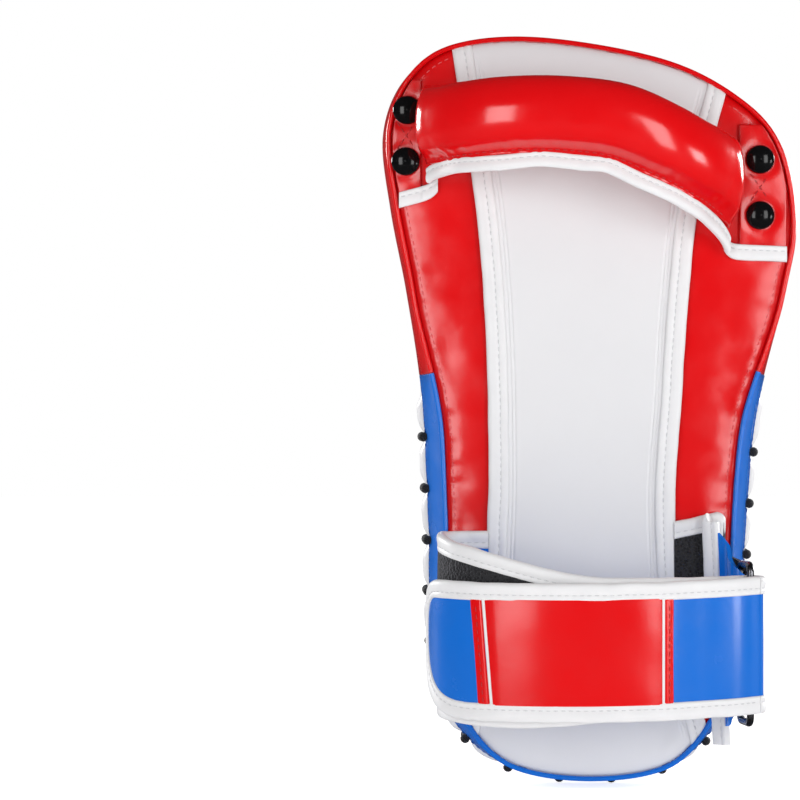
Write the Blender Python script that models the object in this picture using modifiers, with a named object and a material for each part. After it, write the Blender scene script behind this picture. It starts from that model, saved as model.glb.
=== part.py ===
"""A Muay Thai kick pad: a laced leather cover over three foam layers, with a padded
grip for the hand and a hook-and-loop forearm strap that runs through a wire ring.

Frame: the back of the pad, where the arm lies, faces -Y and the striking face faces +Y.
+Z runs from the elbow end to the hand end. The origin is on the arm panel, under the
middle of the strap, where the forearm rests. Lengths are written in millimetres times MM.
"""

import math

import bmesh
import bpy
import numpy as np
from mathutils import Vector

MM = 0.001

# ---- driving dimensions -------------------------------------------------------------
# Outline of the side wall at its widest, seen from the back: x, z, from the top and
# anticlockwise. The hand end is wider and slopes down to the right.
OUTLINE = (
    (-25, 327.5), (-73, 324), (-99, 307), (-111, 277), (-107, 238), (-98.5, 193),
    (-90.5, 140), (-86.8, 70), (-84.8, 0), (-75, -37.5), (-47, -63.5), (0, -71.5),
    (47, -64), (74.5, -37.5), (85.3, 0), (87, 60), (92.8, 125), (108, 192),
    (113.5, 228), (106, 268), (84, 294), (42, 315.5),
)
SPINE_LOW, SPINE_HIGH = 0 * MM, 225 * MM  # the middle line that crowns rise towards

SEAM_BACK = 6 * MM  # y of the seam round the back panels
WALL = 70 * MM  # from the back seam to the front seam
SEAM_FRONT = SEAM_BACK + WALL
CROWN_FRONT = 9 * MM
CROWN_ARM = 6 * MM  # the arm panel rises to y = 0
CROWN_SIDE = 3.5 * MM
SEAM_INSET_SIDE = 9 * MM  # how far the front seam lies inside the outline
SEAM_INSET_BACK = (10.5 * MM, 4.5 * MM)  # the back seam: at the lacing, and above it
SEAM_INSET_CHANGE = (110 * MM, 185 * MM)  # heights between which it changes
SEAM_INSET_BACK_ENDS = 2 * MM
SEAM_INSET_FRONT_TOP = 17 * MM
PLATEAU = 0.35  # share of the half width that stays flat

LEATHER = 1.6 * MM
GAP = 0.4 * MM  # clearance between touching pieces
WELT = 1.4 * MM  # radius of the piping in the seams
WALL_SPLIT = 147 * MM  # red above, blue below
LACE_TOP = 131 * MM
LACE_GAP = (0.4, 0.6)  # shares of the wall between the two blue gussets
LACE_HOLES = (0.345, 0.655)  # shares of the wall where the lace runs under the gussets
LACE_RADIUS = 1.5 * MM
LACE_PITCH = 28 * MM
KNOT_Z = 3 * MM
KNOT_RADIUS = 4.6 * MM
# The tongue fills the gap from behind: shares of the wall, and depth below its face.
TONGUE = ((0.33, 2.7), (0.4, 2.4), (0.44, 0.6), (0.5, 0), (0.56, 0.6), (0.6, 2.4), (0.67, 2.7))

FOAM_INSET = 5 * MM
FOAM_LAYERS = (("foam_back", 9.9, 27), ("foam_middle", 27.4, 55), ("foam_front", 55.4, 73))
ARM_CUSHION_SCALE = 0.8

# Outer edges of the white trims, x against z.
TRIM_Z = (-72, -45, 0, 75, 134, 187, 240, 300, 330)
TRIM_LEFT = (-76, -70, -59, -54.5, -54.6, -56.7, -61.5, -70.5, -75)
TRIM_RIGHT = (70, 64, 51, 46, 49.5, 53, 59, 74, 82)
TRIM_WIDTH = 11 * MM
TRIM_THICK = 1.2 * MM

STRAP_HALF = 1.4 * MM  # half the thickness of the strap's leather band
STRAP_LAYER = 1.0 * MM  # loop pile, hooks and the patch on the strap
BINDING_HALF = 2.5 * MM
BINDING_SKIN = 0.8 * MM
BINDING_WIDTH = 9.5 * MM
STRAP_LOW, STRAP_HIGH = -31 * MM, 41 * MM  # z of the strap's edges at the ring
STRAP_LEFT_LOW, STRAP_LEFT_HIGH = -34 * MM, 63 * MM  # and at the left fold
STRAP_SPACING = 5.9 * MM  # tail above main band, middle to middle
TAIL_SAG = 2.6 * MM  # the tail hangs a little lower halfway along
TAIL_TIP = 34 * MM  # radius of the tail's round end
BAND_SAG = 4.5 * MM  # the main band's lower edge dips where it crosses the arm

RING_RADIUS = 2 * MM  # of the wire
RING_INNER = (79 * MM, -20 * MM)  # the bar that the holder is wrapped round
RING_OUTER = (82 * MM, -44 * MM)  # the bar that the strap is folded round
RING_LOW, RING_HIGH = -36.5 * MM, 46.5 * MM
RING_PLAY = 1.2 * MM  # between the bars and the leather folded round them
FOLD_RADIUS = RING_RADIUS + BINDING_HALF + RING_PLAY
STRAP_PULL = Vector((0.788, 0.616)).normalized()  # the band's direction into the ring
PULL_NORMAL = Vector((STRAP_PULL.y, -STRAP_PULL.x))

# Middle line of the strap's main band in plan: x, y.
STRAP_PATH = (
    (-54, 0.2), (-60, 0.7), (-66.5, 1.1), (-73.5, -1.5), (-78.2, -9), (-79.6, -22), (-78.4, -38),
    (-71.5, -51.5), (-56, -61.5), (-31, -67.5), (0, -69.5), (30, -66.5), (52, -59), (66.5, -50),
)
HOLDER_PATH = ((45, -0.3), (54, 0), (62, 0.4), (70, -0.9), (78, -5), (83, -11))
HOLDER_PEAK = (69 * MM, 73 * MM)  # where the holder's upper edge is highest
FLAP_PATH = ((72.8, -15.2), (69.6, -11.7), (64.6, -8.6), (59.6, -5.5))

GRIP_PATH = (  # middle line of the grip: x, height above the back, z
    (-88.5, 5.5, 279), (-80, 15, 279.6), (-66, 31, 280.6), (-44, 41, 282.5), (-18, 44, 282.6),
    (12, 43.5, 279), (38, 38, 269), (56, 28, 260), (68, 15, 253.5), (77.5, 5.5, 247.5),
)
GRIP_HALF_HEIGHT = 20.5 * MM  # along the pad
GRIP_HALF_DEPTH = 14 * MM
GRIP_END_DEPTH = 3 * MM
GRIP_FLANGE = 3.5 * MM  # closed edge of the leather, inside the white binding
TABS = {  # x from, x to, z from, z to, and the rise of its lower edge
    "left": (-106, -90.5, 243, 305, 4),
    "right": (80.5, 106, 216, 281, -1),
}
TAB_THICK = 2.4 * MM
RIVETS = {"1": (-97.8, 288.5), "2": (-98.6, 261), "3": (91.5, 262), "4": (91.5, 232)}
RIVET_CAP = 7.5 * MM
RIVET_SHANK = 2 * MM

COLOURS = {
    "red_leather": (0.76, 0.005, 0.01, 0.32, 0),
    "blue_leather": (0.01, 0.13, 0.6, 0.32, 0),
    "white_leather": (0.82, 0.82, 0.84, 0.42, 0),
    "white_binding": (0.84, 0.84, 0.84, 0.5, 0),
    "black_pile": (0.008, 0.008, 0.01, 0.95, 0),
    "black_lace": (0.006, 0.006, 0.006, 0.7, 0),
    "black_cap": (0.004, 0.004, 0.004, 0.12, 0),
    "dark_metal": (0.09, 0.09, 0.1, 0.25, 1),
    "foam": (0.55, 0.55, 0.52, 0.9, 0),
}


# ---- outline and surfaces -----------------------------------------------------------
def smooth_curve(points, steps=10, closed=False):
    """Catmull-Rom curve through the points, as an array."""
    given = np.array(points, float)
    if closed:
        given = np.vstack([given[-1], given, given[:2]])
    else:
        given = np.vstack([2 * given[0] - given[1], given, 2 * given[-1] - given[-2]])
    made = []
    for a, b, c, d in zip(given, given[1:], given[2:], given[3:]):
        for t in np.arange(steps) / steps:
            made.append(
                0.5 * (2 * b + (c - a) * t + (2 * a - 5 * b + 4 * c - d) * t**2
                       + (3 * b - a - 3 * c + d) * t**3)
            )
    if not closed:
        made.append(given[-2])
    return np.array(made)


def along(points):
    """Distance along a polyline at each of its points."""
    steps = np.linalg.norm(np.diff(points, axis=0), axis=1)
    return np.concatenate([[0], np.cumsum(steps)])


def resampled(points, count):
    """The polyline at `count` even distances, ends included."""
    length = along(points)
    wanted = np.linspace(0, length[-1], count)
    return np.column_stack([np.interp(wanted, length, points[:, k]) for k in range(points.shape[1])])


def outward(points):
    """Outward normals of an anticlockwise closed ring in x, z."""
    turn = np.roll(points, -1, axis=0) - np.roll(points, 1, axis=0)
    normal = np.column_stack([turn[:, 1], -turn[:, 0]])
    return normal / np.linalg.norm(normal, axis=1)[:, None]


def closed_ring(points, count):
    return resampled(np.vstack([points, points[:1]]), count + 1)[:-1]


RING = closed_ring(smooth_curve(OUTLINE, 20, closed=True), 2880) * MM
RING_NORMAL = outward(RING)


def seam_insets(normal, height):
    """How far the back and front seams lie inside the outline, by its normal and z."""
    end = normal[:, 1] ** 2
    top = np.clip(normal[:, 1], 0, 1) ** 2
    low, high = SEAM_INSET_CHANGE
    climb = np.clip((height - low) / (high - low), 0, 1)
    climb = climb * climb * (3 - 2 * climb)
    back = SEAM_INSET_BACK[0] + (SEAM_INSET_BACK[1] - SEAM_INSET_BACK[0]) * climb
    back = back + (SEAM_INSET_BACK_ENDS - back) * end
    front = SEAM_INSET_SIDE + (SEAM_INSET_FRONT_TOP - SEAM_INSET_SIDE) * top
    return back, front


def wall_points(index, share, inset=0.0):
    """Points of the side wall: ring places `index`, `share` of the way from back to front."""
    normal = RING_NORMAL[index]
    back, front = seam_insets(normal, RING[index, 1])
    widest = np.sqrt(back) / (np.sqrt(back) + np.sqrt(front))
    depth = back / widest**2 * (share - widest) ** 2 + inset
    flat = RING[index] - normal * depth[:, None]
    y = np.full(len(index), SEAM_BACK + share * WALL)
    return np.column_stack([flat[:, 0], y, flat[:, 1]])


ALL_ROUND = np.arange(len(RING))
BACK_SEAM = wall_points(ALL_ROUND, 0.0)[:, [0, 2]]


def split_ring(ring, axis):
    """The two halves of a ring, each as a table along z (axis 1) or x (axis 0)."""
    first, last = ring[:, axis].argmax(), ring[:, axis].argmin()
    order = np.arange(first, first + len(ring) + 1) % len(ring)
    cut = int(np.where(order == last)[0][0])
    halves = []
    for part in (ring[order[: cut + 1]], ring[order[cut:]]):
        part = part[np.argsort(part[:, axis], kind="stable")]
        halves.append((part[:, axis], part[:, 1 - axis]))
    return halves


SIDES = split_ring(BACK_SEAM, 1)  # left, right
ENDS = split_ring(BACK_SEAM, 0)  # upper, lower


def seam_x(side, z):
    """x of the back seam's left (-1) or right (+1) side at height z."""
    return float(np.interp(z, *SIDES[0 if side < 0 else 1]))


def seam_z(x, low=False):
    """z of the back seam's upper or lower edge at x."""
    return float(np.interp(x, *ENDS[1 if low else 0]))


def spine_point(z):
    held = min(max(z, SPINE_LOW), SPINE_HIGH)
    middle = (seam_x(-1, held) + seam_x(1, held)) / 2
    return np.array([middle, held])


SPINE_ENDS = {}
for end_z in (SPINE_LOW, SPINE_HIGH):
    centre = spine_point(end_z)
    spoke = BACK_SEAM - centre
    angle = np.arctan2(spoke[:, 1], spoke[:, 0])
    order = np.argsort(angle)
    SPINE_ENDS[end_z] = (centre, angle[order], np.linalg.norm(spoke, axis=1)[order])


def share_out(x, z):
    """0 on the spine, 1 on the back seam."""
    if SPINE_LOW <= z <= SPINE_HIGH:
        left, right = seam_x(-1, z), seam_x(1, z)
        return min(1.0, abs(x - (left + right) / 2) / ((right - left) / 2))
    centre, angles, radii = SPINE_ENDS[SPINE_LOW if z < SPINE_LOW else SPINE_HIGH]
    dx, dz = x - centre[0], z - centre[1]
    radius = np.interp(math.atan2(dz, dx), angles, radii, period=2 * math.pi)
    return min(1.0, math.hypot(dx, dz) / radius)


def rise(share, height, power=2.5):
    """Height of a crown that is flat in the middle and runs down to the seam."""
    return height * (1 - max(0.0, (share - PLATEAU) / (1 - PLATEAU)) ** power)


def arm_y(x, z):
    """y of the arm panel's outer face."""
    return SEAM_BACK - rise(share_out(x, z), CROWN_ARM)


def side_y(x, z):
    """y of the red back panels' outer face."""
    return SEAM_BACK - rise(share_out(x, z), CROWN_SIDE)


def trim_x(side, z):
    edge = TRIM_LEFT if side < 0 else TRIM_RIGHT
    curve = smooth_curve(list(zip(TRIM_Z, edge)), 8) * MM
    return float(np.interp(z, curve[:, 0], curve[:, 1]))


# ---- making objects -----------------------------------------------------------------
def clear_scene():
    for obj in list(bpy.data.objects):
        bpy.data.objects.remove(obj)


def material(name):
    found = bpy.data.materials.get(name)
    if found:
        return found
    red, green, blue, roughness, metallic = COLOURS[name]
    made = bpy.data.materials.new(name)
    made.use_nodes = True
    shader = made.node_tree.nodes["Principled BSDF"]
    shader.inputs["Base Color"].default_value = (red, green, blue, 1)
    shader.inputs["Roughness"].default_value = roughness
    shader.inputs["Metallic"].default_value = metallic
    return made


def add_object(name, mesh, finish, collection):
    obj = bpy.data.objects.new(name, mesh)
    collection.objects.link(obj)
    mesh.materials.clear()
    mesh.materials.append(material(finish))
    return obj


def mesh_from(name, bm, finish, collection):
    bmesh.ops.remove_doubles(bm, verts=bm.verts, dist=1e-6)
    bmesh.ops.recalc_face_normals(bm, faces=bm.faces)
    mesh = bpy.data.meshes.new(name)
    bm.to_mesh(mesh)
    bm.free()
    mesh.shade_smooth()
    mesh.set_sharp_from_angle(angle=math.radians(35))
    return add_object(name, mesh, finish, collection)


def add_grid(bm, rows, wrap=False):
    """Quads over a list of equal rows of points. Returns the rows of vertices."""
    made = [[bm.verts.new(p) for p in row] for row in rows]
    for low, high in zip(made, made[1:]):
        count = len(low)
        for k in range(count if wrap else count - 1):
            n = (k + 1) % count
            bm.faces.new((low[k], low[n], high[n], high[k]))
    return made


def sheet(name, rows, thickness, facing, finish, collection):
    """A shell from a grid of outer points: Solidify away from the direction `facing`."""
    bm = bmesh.new()
    add_grid(bm, rows)
    bm.normal_update()
    if sum(f.normal.dot(facing(f.calc_center_median())) for f in bm.faces) < 0:
        bmesh.ops.reverse_faces(bm, faces=bm.faces)
    mesh = bpy.data.meshes.new(name)
    bm.to_mesh(mesh)
    bm.free()
    mesh.shade_smooth()
    obj = add_object(name, mesh, finish, collection)
    skin = obj.modifiers.new("thickness", "SOLIDIFY")
    skin.thickness = thickness
    skin.offset = -1
    skin.use_even_offset = True
    return obj


def loft(name, rings, finish, collection):
    """A closed solid through closed rings of equal count, capped at both ends."""
    bm = bmesh.new()
    made = add_grid(bm, rings, wrap=True)
    bm.faces.new(made[0])
    bm.faces.new(made[-1])
    return mesh_from(name, bm, finish, collection)


def backward(_point):
    return Vector((0, -1, 0))


def forward(_point):
    return Vector((0, 1, 0))


def sideways(point):
    middle = spine_point(point.z)
    return Vector((point.x - middle[0], 0, point.z - middle[1]))


# ---- the pad ------------------------------------------------------------------------
def stretch(low_z, inside_lower):
    """Ring places below (or above) low_z, in order, from the left side round."""
    below = RING[:, 1] < low_z
    wanted = below if inside_lower else ~below
    start = int(np.where(wanted & ~np.roll(wanted, 1))[0][0])
    return (np.arange(wanted.sum()) + start) % len(RING)


def thinned(index, count):
    return index[np.linspace(0, len(index) - 1, count).round().astype(int)]


def wall_sheet(name, index, low, high, finish, pad, steps):
    rows = [wall_points(index, share) for share in np.linspace(low, high, steps)]
    return sheet(name, rows, LEATHER, sideways, finish, pad)


def make_walls(pad):
    edge = 3.2 * MM / WALL  # leaves room for the welt
    upper = thinned(stretch(WALL_SPLIT + GAP, False), 30)
    lower = thinned(stretch(WALL_SPLIT - GAP, True), 32)
    wall_sheet("upper_side_wall", upper, edge, 1 - edge, "red_leather", pad, steps=6)
    wall_sheet("rear_gusset", lower, edge, LACE_GAP[0], "blue_leather", pad, steps=4)
    wall_sheet("front_gusset", lower, LACE_GAP[1], 1 - edge, "blue_leather", pad, steps=4)
    tongue = thinned(stretch(LACE_TOP + 6 * MM, True), 32)
    rows = [wall_points(tongue, share, depth * MM) for share, depth in TONGUE]
    sheet("lacing_tongue", rows, LEATHER, sideways, "white_leather", pad)


def towards_spine(points, share):
    """Ring points x, z moved in towards the spine."""
    spine = np.array([spine_point(z) for z in points[:, 1]])
    return spine + (points - spine) * share


def crown_rings(outer, shares, base, height):
    for share in shares:
        flat = towards_spine(outer, share)
        y = base + rise(share, height, 3.5)
        yield np.column_stack([flat[:, 0], np.full(len(flat), y), flat[:, 1]])


def make_front_panel(pad):
    index = thinned(ALL_ROUND, 57)[:-1]
    seam = wall_points(index, 1.0)[:, [0, 2]]
    bm = bmesh.new()
    shares = (1.0, 0.94, 0.84, 0.66, PLATEAU)
    rings = add_grid(bm, list(crown_rings(seam, shares, SEAM_FRONT, CROWN_FRONT)), wrap=True)
    bm.faces.new(rings[-1])
    bmesh.ops.recalc_face_normals(bm, faces=bm.faces)
    bm.normal_update()
    if sum(f.normal.y * f.calc_area() for f in bm.faces) < 0:
        bmesh.ops.reverse_faces(bm, faces=bm.faces)
    mesh = bpy.data.meshes.new("front_panel")
    bm.to_mesh(mesh)
    bm.free()
    mesh.shade_smooth()
    obj = add_object("front_panel", mesh, "red_leather", pad)
    skin = obj.modifiers.new("thickness", "SOLIDIFY")
    skin.thickness = LEATHER
    skin.offset = -1
    skin.use_even_offset = True


def make_foam(pad):
    index = thinned(ALL_ROUND, 49)[:-1]
    for name, low, high in FOAM_LAYERS:
        shares = [(y * MM - SEAM_BACK) / WALL for y in np.linspace(low, high, 3)]
        rings = [wall_points(index, share, FOAM_INSET) for share in shares]
        if name == "foam_front":
            top = rings[-1][:, [0, 2]]
            crown = crown_rings(top, (0.94, 0.8, 0.62), high * MM, CROWN_FRONT - 1 * MM)
            rings += list(crown)
        loft(name, rings, "foam", pad)


def panel_rows(side, steps=22, across=3):
    """Rows of the red back panel at one side, from its trim's middle to the back seam."""
    def width(z):
        outer = seam_x(side, z)
        inner = trim_x(side, z) - side * (TRIM_WIDTH / 2 - GAP)
        return (outer - inner) * side
    heights = [z for z in np.linspace(-70, 326, 793) * MM if width(z) > 2.5 * MM]
    rows = []
    for z in np.linspace(heights[0], heights[-1], steps):
        inner = trim_x(side, z) - side * (TRIM_WIDTH / 2 - GAP)
        xs = np.linspace(inner, seam_x(side, z), across + 1)
        rows.append([(x, side_y(x, z), z) for x in xs])
    return rows


def column(side_share, inset):
    """One line up the arm panel, `side_share` of the way from left trim to right trim."""
    def at(z):
        left = trim_x(-1, z) + inset
        right = trim_x(1, z) - inset
        return left + (right - left) * side_share
    low, high = -65 * MM, 315 * MM
    for _ in range(4):
        low = seam_z(at(low), low=True) + 2 * GAP
        high = seam_z(at(high)) - 2 * GAP
    return at, low, high


def arm_rows(side_shares, inset, steps, raise_by=0.0):
    rows = []
    for share in side_shares:
        at, low, high = column(share, inset)
        heights = np.linspace(low, high, steps)
        rows.append([(at(z), arm_y(at(z), z) - raise_by, z) for z in heights])
    return rows


def make_back(pad):
    half = TRIM_WIDTH / 2 + GAP
    for side, name in ((-1, "left"), (1, "right")):
        sheet(f"back_panel_{name}", panel_rows(side), LEATHER, backward, "red_leather", pad)
    sheet("arm_panel", arm_rows(np.linspace(0, 1, 7), half, 18), LEATHER, backward,
          "white_leather", pad)
    for side, name in ((-1, "left"), (1, "right")):
        rows = []
        for z in np.linspace(-70, 326, 30) * MM:
            edge = trim_x(side, z)
            inner = edge - side * TRIM_WIDTH
            lowest = max(seam_z(x, low=True) for x in (edge, inner))
            highest = min(seam_z(x) for x in (edge, inner))
            if lowest + 1 * MM < z < highest - 1 * MM:
                xs = np.linspace(edge, inner, 3)
                rows.append([(x, arm_y(x, z) - GAP - TRIM_THICK, z) for x in xs])
        sheet(f"trim_{name}", rows, TRIM_THICK, backward, "white_binding", pad)
    make_arm_cushion(pad)


def make_arm_cushion(pad):
    """A thin foam pad between the arm panel and the back layer of foam."""
    shares = np.linspace(0.5 - ARM_CUSHION_SCALE / 2, 0.5 + ARM_CUSHION_SCALE / 2, 5)
    front, rear = [], []
    for share in shares:
        at, low, high = column(share, TRIM_WIDTH)
        heights = np.linspace(low + 30 * MM, high - 30 * MM, 12)
        front.append([(at(z), arm_y(at(z), z) + LEATHER + GAP, z) for z in heights])
        rear.append([(at(z), 9.4 * MM, z) for z in heights])
    bm = bmesh.new()
    near, far = add_grid(bm, front), add_grid(bm, rear)
    border = [(0, k) for k in range(12)] + [(k, 11) for k in range(1, 5)]
    border += [(4, k) for k in range(10, -1, -1)] + [(k, 0) for k in range(3, 0, -1)]
    for (a, b), (c, d) in zip(border, border[1:] + border[:1]):
        bm.faces.new((near[a][b], near[c][d], far[c][d], far[a][b]))
    mesh_from("arm_cushion", bm, "foam", pad)


# ---- round cords and wires ----------------------------------------------------------
def wire(name, points, radius, finish, collection, cyclic=False, resolution=1):
    data = bpy.data.curves.new(name, "CURVE")
    data.dimensions = "3D"
    spline = data.splines.new("POLY")
    spline.points.add(len(points) - 1)
    for place, p in zip(spline.points, points):
        place.co = (*p, 1)
    spline.use_cyclic_u = cyclic
    data.bevel_depth = radius
    data.bevel_resolution = resolution
    data.use_fill_caps = not cyclic
    data.materials.append(material(finish))
    obj = bpy.data.objects.new(name, data)
    collection.objects.link(obj)
    return obj


def make_welts(pad):
    out = WELT + GAP
    for where, share in (("rear", 0.0), ("front", 1.0)):
        for part, lower, finish in (("upper", False, "red_leather"), ("lower", True, "blue_leather")):
            index = thinned(stretch(WALL_SPLIT - GAP if lower else WALL_SPLIT + GAP, lower), 34)
            wire(f"{where}_welt_{part}", wall_points(index, share, -out), WELT, finish, pad)


def lace_points(index):
    """A cord that crosses the gap once every LACE_PITCH and runs on beside it in between."""
    path = RING[index]
    length = along(path)
    lift = -(LACE_RADIUS + GAP)
    points = []
    for k, s in enumerate(np.arange(LACE_PITCH / 4, length[-1], LACE_PITCH)):
        shares = LACE_HOLES if k % 2 == 0 else LACE_HOLES[::-1]
        here = index[np.searchsorted(length, s)]
        points += [wall_points(np.array([here]), share, lift)[0] for share in (shares[0], 0.5, shares[1])]
        if s + LACE_PITCH < length[-1]:
            onward = index[np.searchsorted(length, s + np.array([1, 2]) * LACE_PITCH / 3)]
            points += list(wall_points(onward, shares[1], lift))
    return points


def make_lacing(pad):
    laced = stretch(LACE_TOP, True)
    right = RING[laced, 0] > 0
    low = laced[~(right & (RING[laced, 1] > KNOT_Z - 7 * MM))]
    high = laced[right & (RING[laced, 1] > KNOT_Z + 7 * MM)]
    wire("lace", lace_points(low), LACE_RADIUS, "black_lace", pad)
    wire("lace_upper_end", lace_points(high), LACE_RADIUS, "black_lace", pad)
    here = laced[right & (np.abs(RING[laced, 1] - KNOT_Z) < 1 * MM)][:1]
    bm = bmesh.new()
    bmesh.ops.create_uvsphere(bm, u_segments=12, v_segments=8, radius=KNOT_RADIUS)
    bmesh.ops.scale(bm, vec=(0.7, 1, 1), verts=bm.verts)
    knot = mesh_from("lace_knot", bm, "black_lace", pad)
    knot.location = wall_points(here, 0.5, -KNOT_RADIUS * 0.8)[0]


# ---- strap --------------------------------------------------------------------------
class Track:
    """A plan curve x, y that a flat pattern is wrapped on. `out` is the outer side."""

    def __init__(self, points):
        self.points = np.array(points, float)
        self.length = along(self.points)
        turn = np.gradient(self.points, axis=0)
        turn /= np.linalg.norm(turn, axis=1)[:, None]
        self.normal = np.column_stack([turn[:, 1], -turn[:, 0]])

    def at(self, s, off):
        x, y = (np.interp(s, self.length, self.points[:, k]) for k in (0, 1))
        nx, ny = (np.interp(s, self.length, self.normal[:, k]) for k in (0, 1))
        size = math.hypot(nx, ny)
        return x + nx / size * off, y + ny / size * off

    def place(self, s, off, z):
        x, y = self.at(s, off)
        return (x, y, z)

    def where_x(self, x):
        """Distance along the track to the place where it first reaches x."""
        steps = zip(self.length, self.points[:, 0], self.length[1:], self.points[1:, 0])
        for s, here, following, there in steps:
            if (here - x) * (there - x) <= 0:
                return s + (following - s) * (x - here) / (there - here)
        return self.length[-1]

    def stations(self, start=0.0, stop=None):
        """The track's own points from start to stop, so that layers share their bends."""
        stop = self.length[-1] if stop is None else stop
        return [s for s in self.length if start - 1e-6 <= s <= stop + 1e-6]


def ring_point(share_out_of_pull):
    """A point beside the ring's outer bar: -1 on the arm's side, +1 on the outer side."""
    return np.array(RING_OUTER) + np.array(PULL_NORMAL) * FOLD_RADIUS * share_out_of_pull


def main_track():
    entry = ring_point(-1) - np.array(STRAP_PULL) * GAP
    before = entry - np.array(STRAP_PULL) * 5 * MM
    points = [np.array(p) * MM for p in STRAP_PATH] + [before, entry]
    return Track(resampled(smooth_curve(points, 8), 40))


def tail_track(main):
    """Starts at the ring's outer bar and lies back over the main band."""
    leave = ring_point(1) - np.array(STRAP_PULL) * GAP
    points = []
    for s in np.arange(main.length[-1], 45 * MM, -2 * MM):
        left = (main.length[-1] - s) / (40 * MM)
        fade = max(0.0, 1 - left) ** 2 * (1 + 2 * min(left, 1))
        points.append(main.at(s, STRAP_SPACING + (2 * FOLD_RADIUS - STRAP_SPACING) * fade))
    points[0] = tuple(leave)
    return Track(resampled(np.array(points), 40))


def fold_track():
    steps = np.linspace(-1, 1, 13) * (math.pi / 2 - 0.06)
    centre = np.array(RING_OUTER)
    return Track([
        centre + FOLD_RADIUS * (np.array(PULL_NORMAL) * math.sin(a) + np.array(STRAP_PULL) * math.cos(a))
        for a in steps
    ])


def slab(name, track, low_edge, high_edge, near, far, finish, collection):
    """A band wrapped on a track between two edge paths in s, z, from offset near to far."""
    rings = []
    for (s, a), (s2, b) in zip(low_edge, high_edge):
        rings.append([
            track.place(s, near, a), track.place(s, far, a),
            track.place(s2, far, b), track.place(s2, near, b),
        ])
    return loft(name, rings, finish, collection)


def binding(name, track, path, normal, finish, collection, half=BINDING_HALF):
    """White tape folded over an edge: a channel swept along an edge path in s, z."""
    skin, width = BINDING_SKIN, BINDING_WIDTH
    section = (
        (width, half), (0, half), (0, -half), (width, -half),
        (width, skin - half), (skin, skin - half), (skin, half - skin), (width, half - skin),
    )
    rings = [
        [track.place(s + ns * a, off, z + nz * a) for a, off in section]
        for (s, z), (ns, nz) in zip(path, normal)
    ]
    return loft(name, rings, finish, collection)


def linear(at0, at1, length):
    return lambda s: at0 + (at1 - at0) * min(max(s / length, 0), 1)


def edge_path(track, start, z_of, inset=0.0, stop=None):
    """Path in s, z along a straight edge. `start` may differ from edge to edge."""
    own = track.stations(0, stop)
    first = next(k for k, s in enumerate(own) if s > start + 1.5 * MM)
    spread = np.linspace(0, first, first + 1) / max(first, 1)
    lead = [start + (own[first] - start) * t for t in spread[:-1]]
    run = lead + own[first:]
    return [(s, z_of(s) + inset) for s in run]


def edge_binding(name, track, path, up, pad):
    binding(name, track, path, [(0, up)] * len(path), "white_binding", pad)


def band_edges(end):
    """Lower and upper edge of the main band: high at its sewn end, and level past the arm."""
    def low(s):
        dip = BAND_SAG * math.exp(-(((s - 110 * MM) / (45 * MM)) ** 2))
        return STRAP_LEFT_LOW + (STRAP_LOW - STRAP_LEFT_LOW) * s / end - dip

    def high(s):
        t = min(max((s - 40 * MM) / (120 * MM), 0.0), 1.0)
        return STRAP_LEFT_HIGH + (STRAP_HIGH - STRAP_LEFT_HIGH) * t * t * (3 - 2 * t)

    return low, high


def make_strap(pad):
    """The main band: out from beside the left trim, round, and over the arm to the ring."""
    main = main_track()
    end = main.length[-1]
    low, high = band_edges(end)
    start_low = main.where_x(trim_x(-1, STRAP_LEFT_LOW + 4 * MM) - 1.2 * MM)
    start_high = main.where_x(trim_x(-1, STRAP_LEFT_HIGH) - 1 * MM)
    edge = BINDING_SKIN + 0.3 * MM
    near, far = -STRAP_HALF + 0.4 * MM, STRAP_HALF - 0.2 * MM
    slab("strap_band", main, edge_path(main, start_low, low, edge),
         edge_path(main, start_high, high, -edge), near, far, "blue_leather", pad)
    clear = BINDING_WIDTH + GAP
    pile = main.stations(48 * MM, end - 16 * MM)
    slab("strap_loop_pile", main, [(s, low(s) + clear) for s in pile],
         [(s, high(s) - clear) for s in pile], STRAP_HALF, STRAP_HALF + STRAP_LAYER,
         "black_pile", pad)
    edge_binding("strap_binding_lower", main, edge_path(main, start_low, low), 1, pad)
    edge_binding("strap_binding_upper", main, edge_path(main, start_high, high), -1, pad)
    fold = fold_track()
    turn = fold.stations()
    slab("strap_fold", fold, [(s, STRAP_LOW) for s in turn], [(s, STRAP_HIGH) for s in turn],
         -STRAP_HALF, STRAP_HALF, "blue_leather", pad)
    return main


def tail_shift(length):
    """How far the tail's middle line lies below its ends."""
    flat = length - TAIL_TIP
    return lambda s: -TAIL_SAG * math.sin(0.75 * math.pi * min(s, flat) / flat)


def tip_outline(tail, radius=TAIL_TIP):
    """The tail's edge: along the top, round the tip, and back along the bottom."""
    length = tail.length[-1]
    shift = tail_shift(length)
    flat_end = length - radius
    path, normal = [], []
    for s in tail.stations(0, flat_end):
        path.append((s, STRAP_HIGH + shift(s)))
        normal.append((0, -1))
    for a in np.linspace(90, 0, 7)[1:]:
        turn = math.radians(a)
        path.append((flat_end + radius * math.cos(turn),
                     STRAP_HIGH - radius + radius * math.sin(turn) + shift(length)))
        normal.append((-math.cos(turn), -math.sin(turn)))
    middle = (STRAP_LOW + STRAP_HIGH) / 2
    mirrored = [(s, 2 * (middle + shift(s)) - z) for s, z in reversed(path)]
    mirrored_normal = [(ns, -nz) for ns, nz in reversed(normal)]
    return path + mirrored, normal + mirrored_normal


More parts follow.
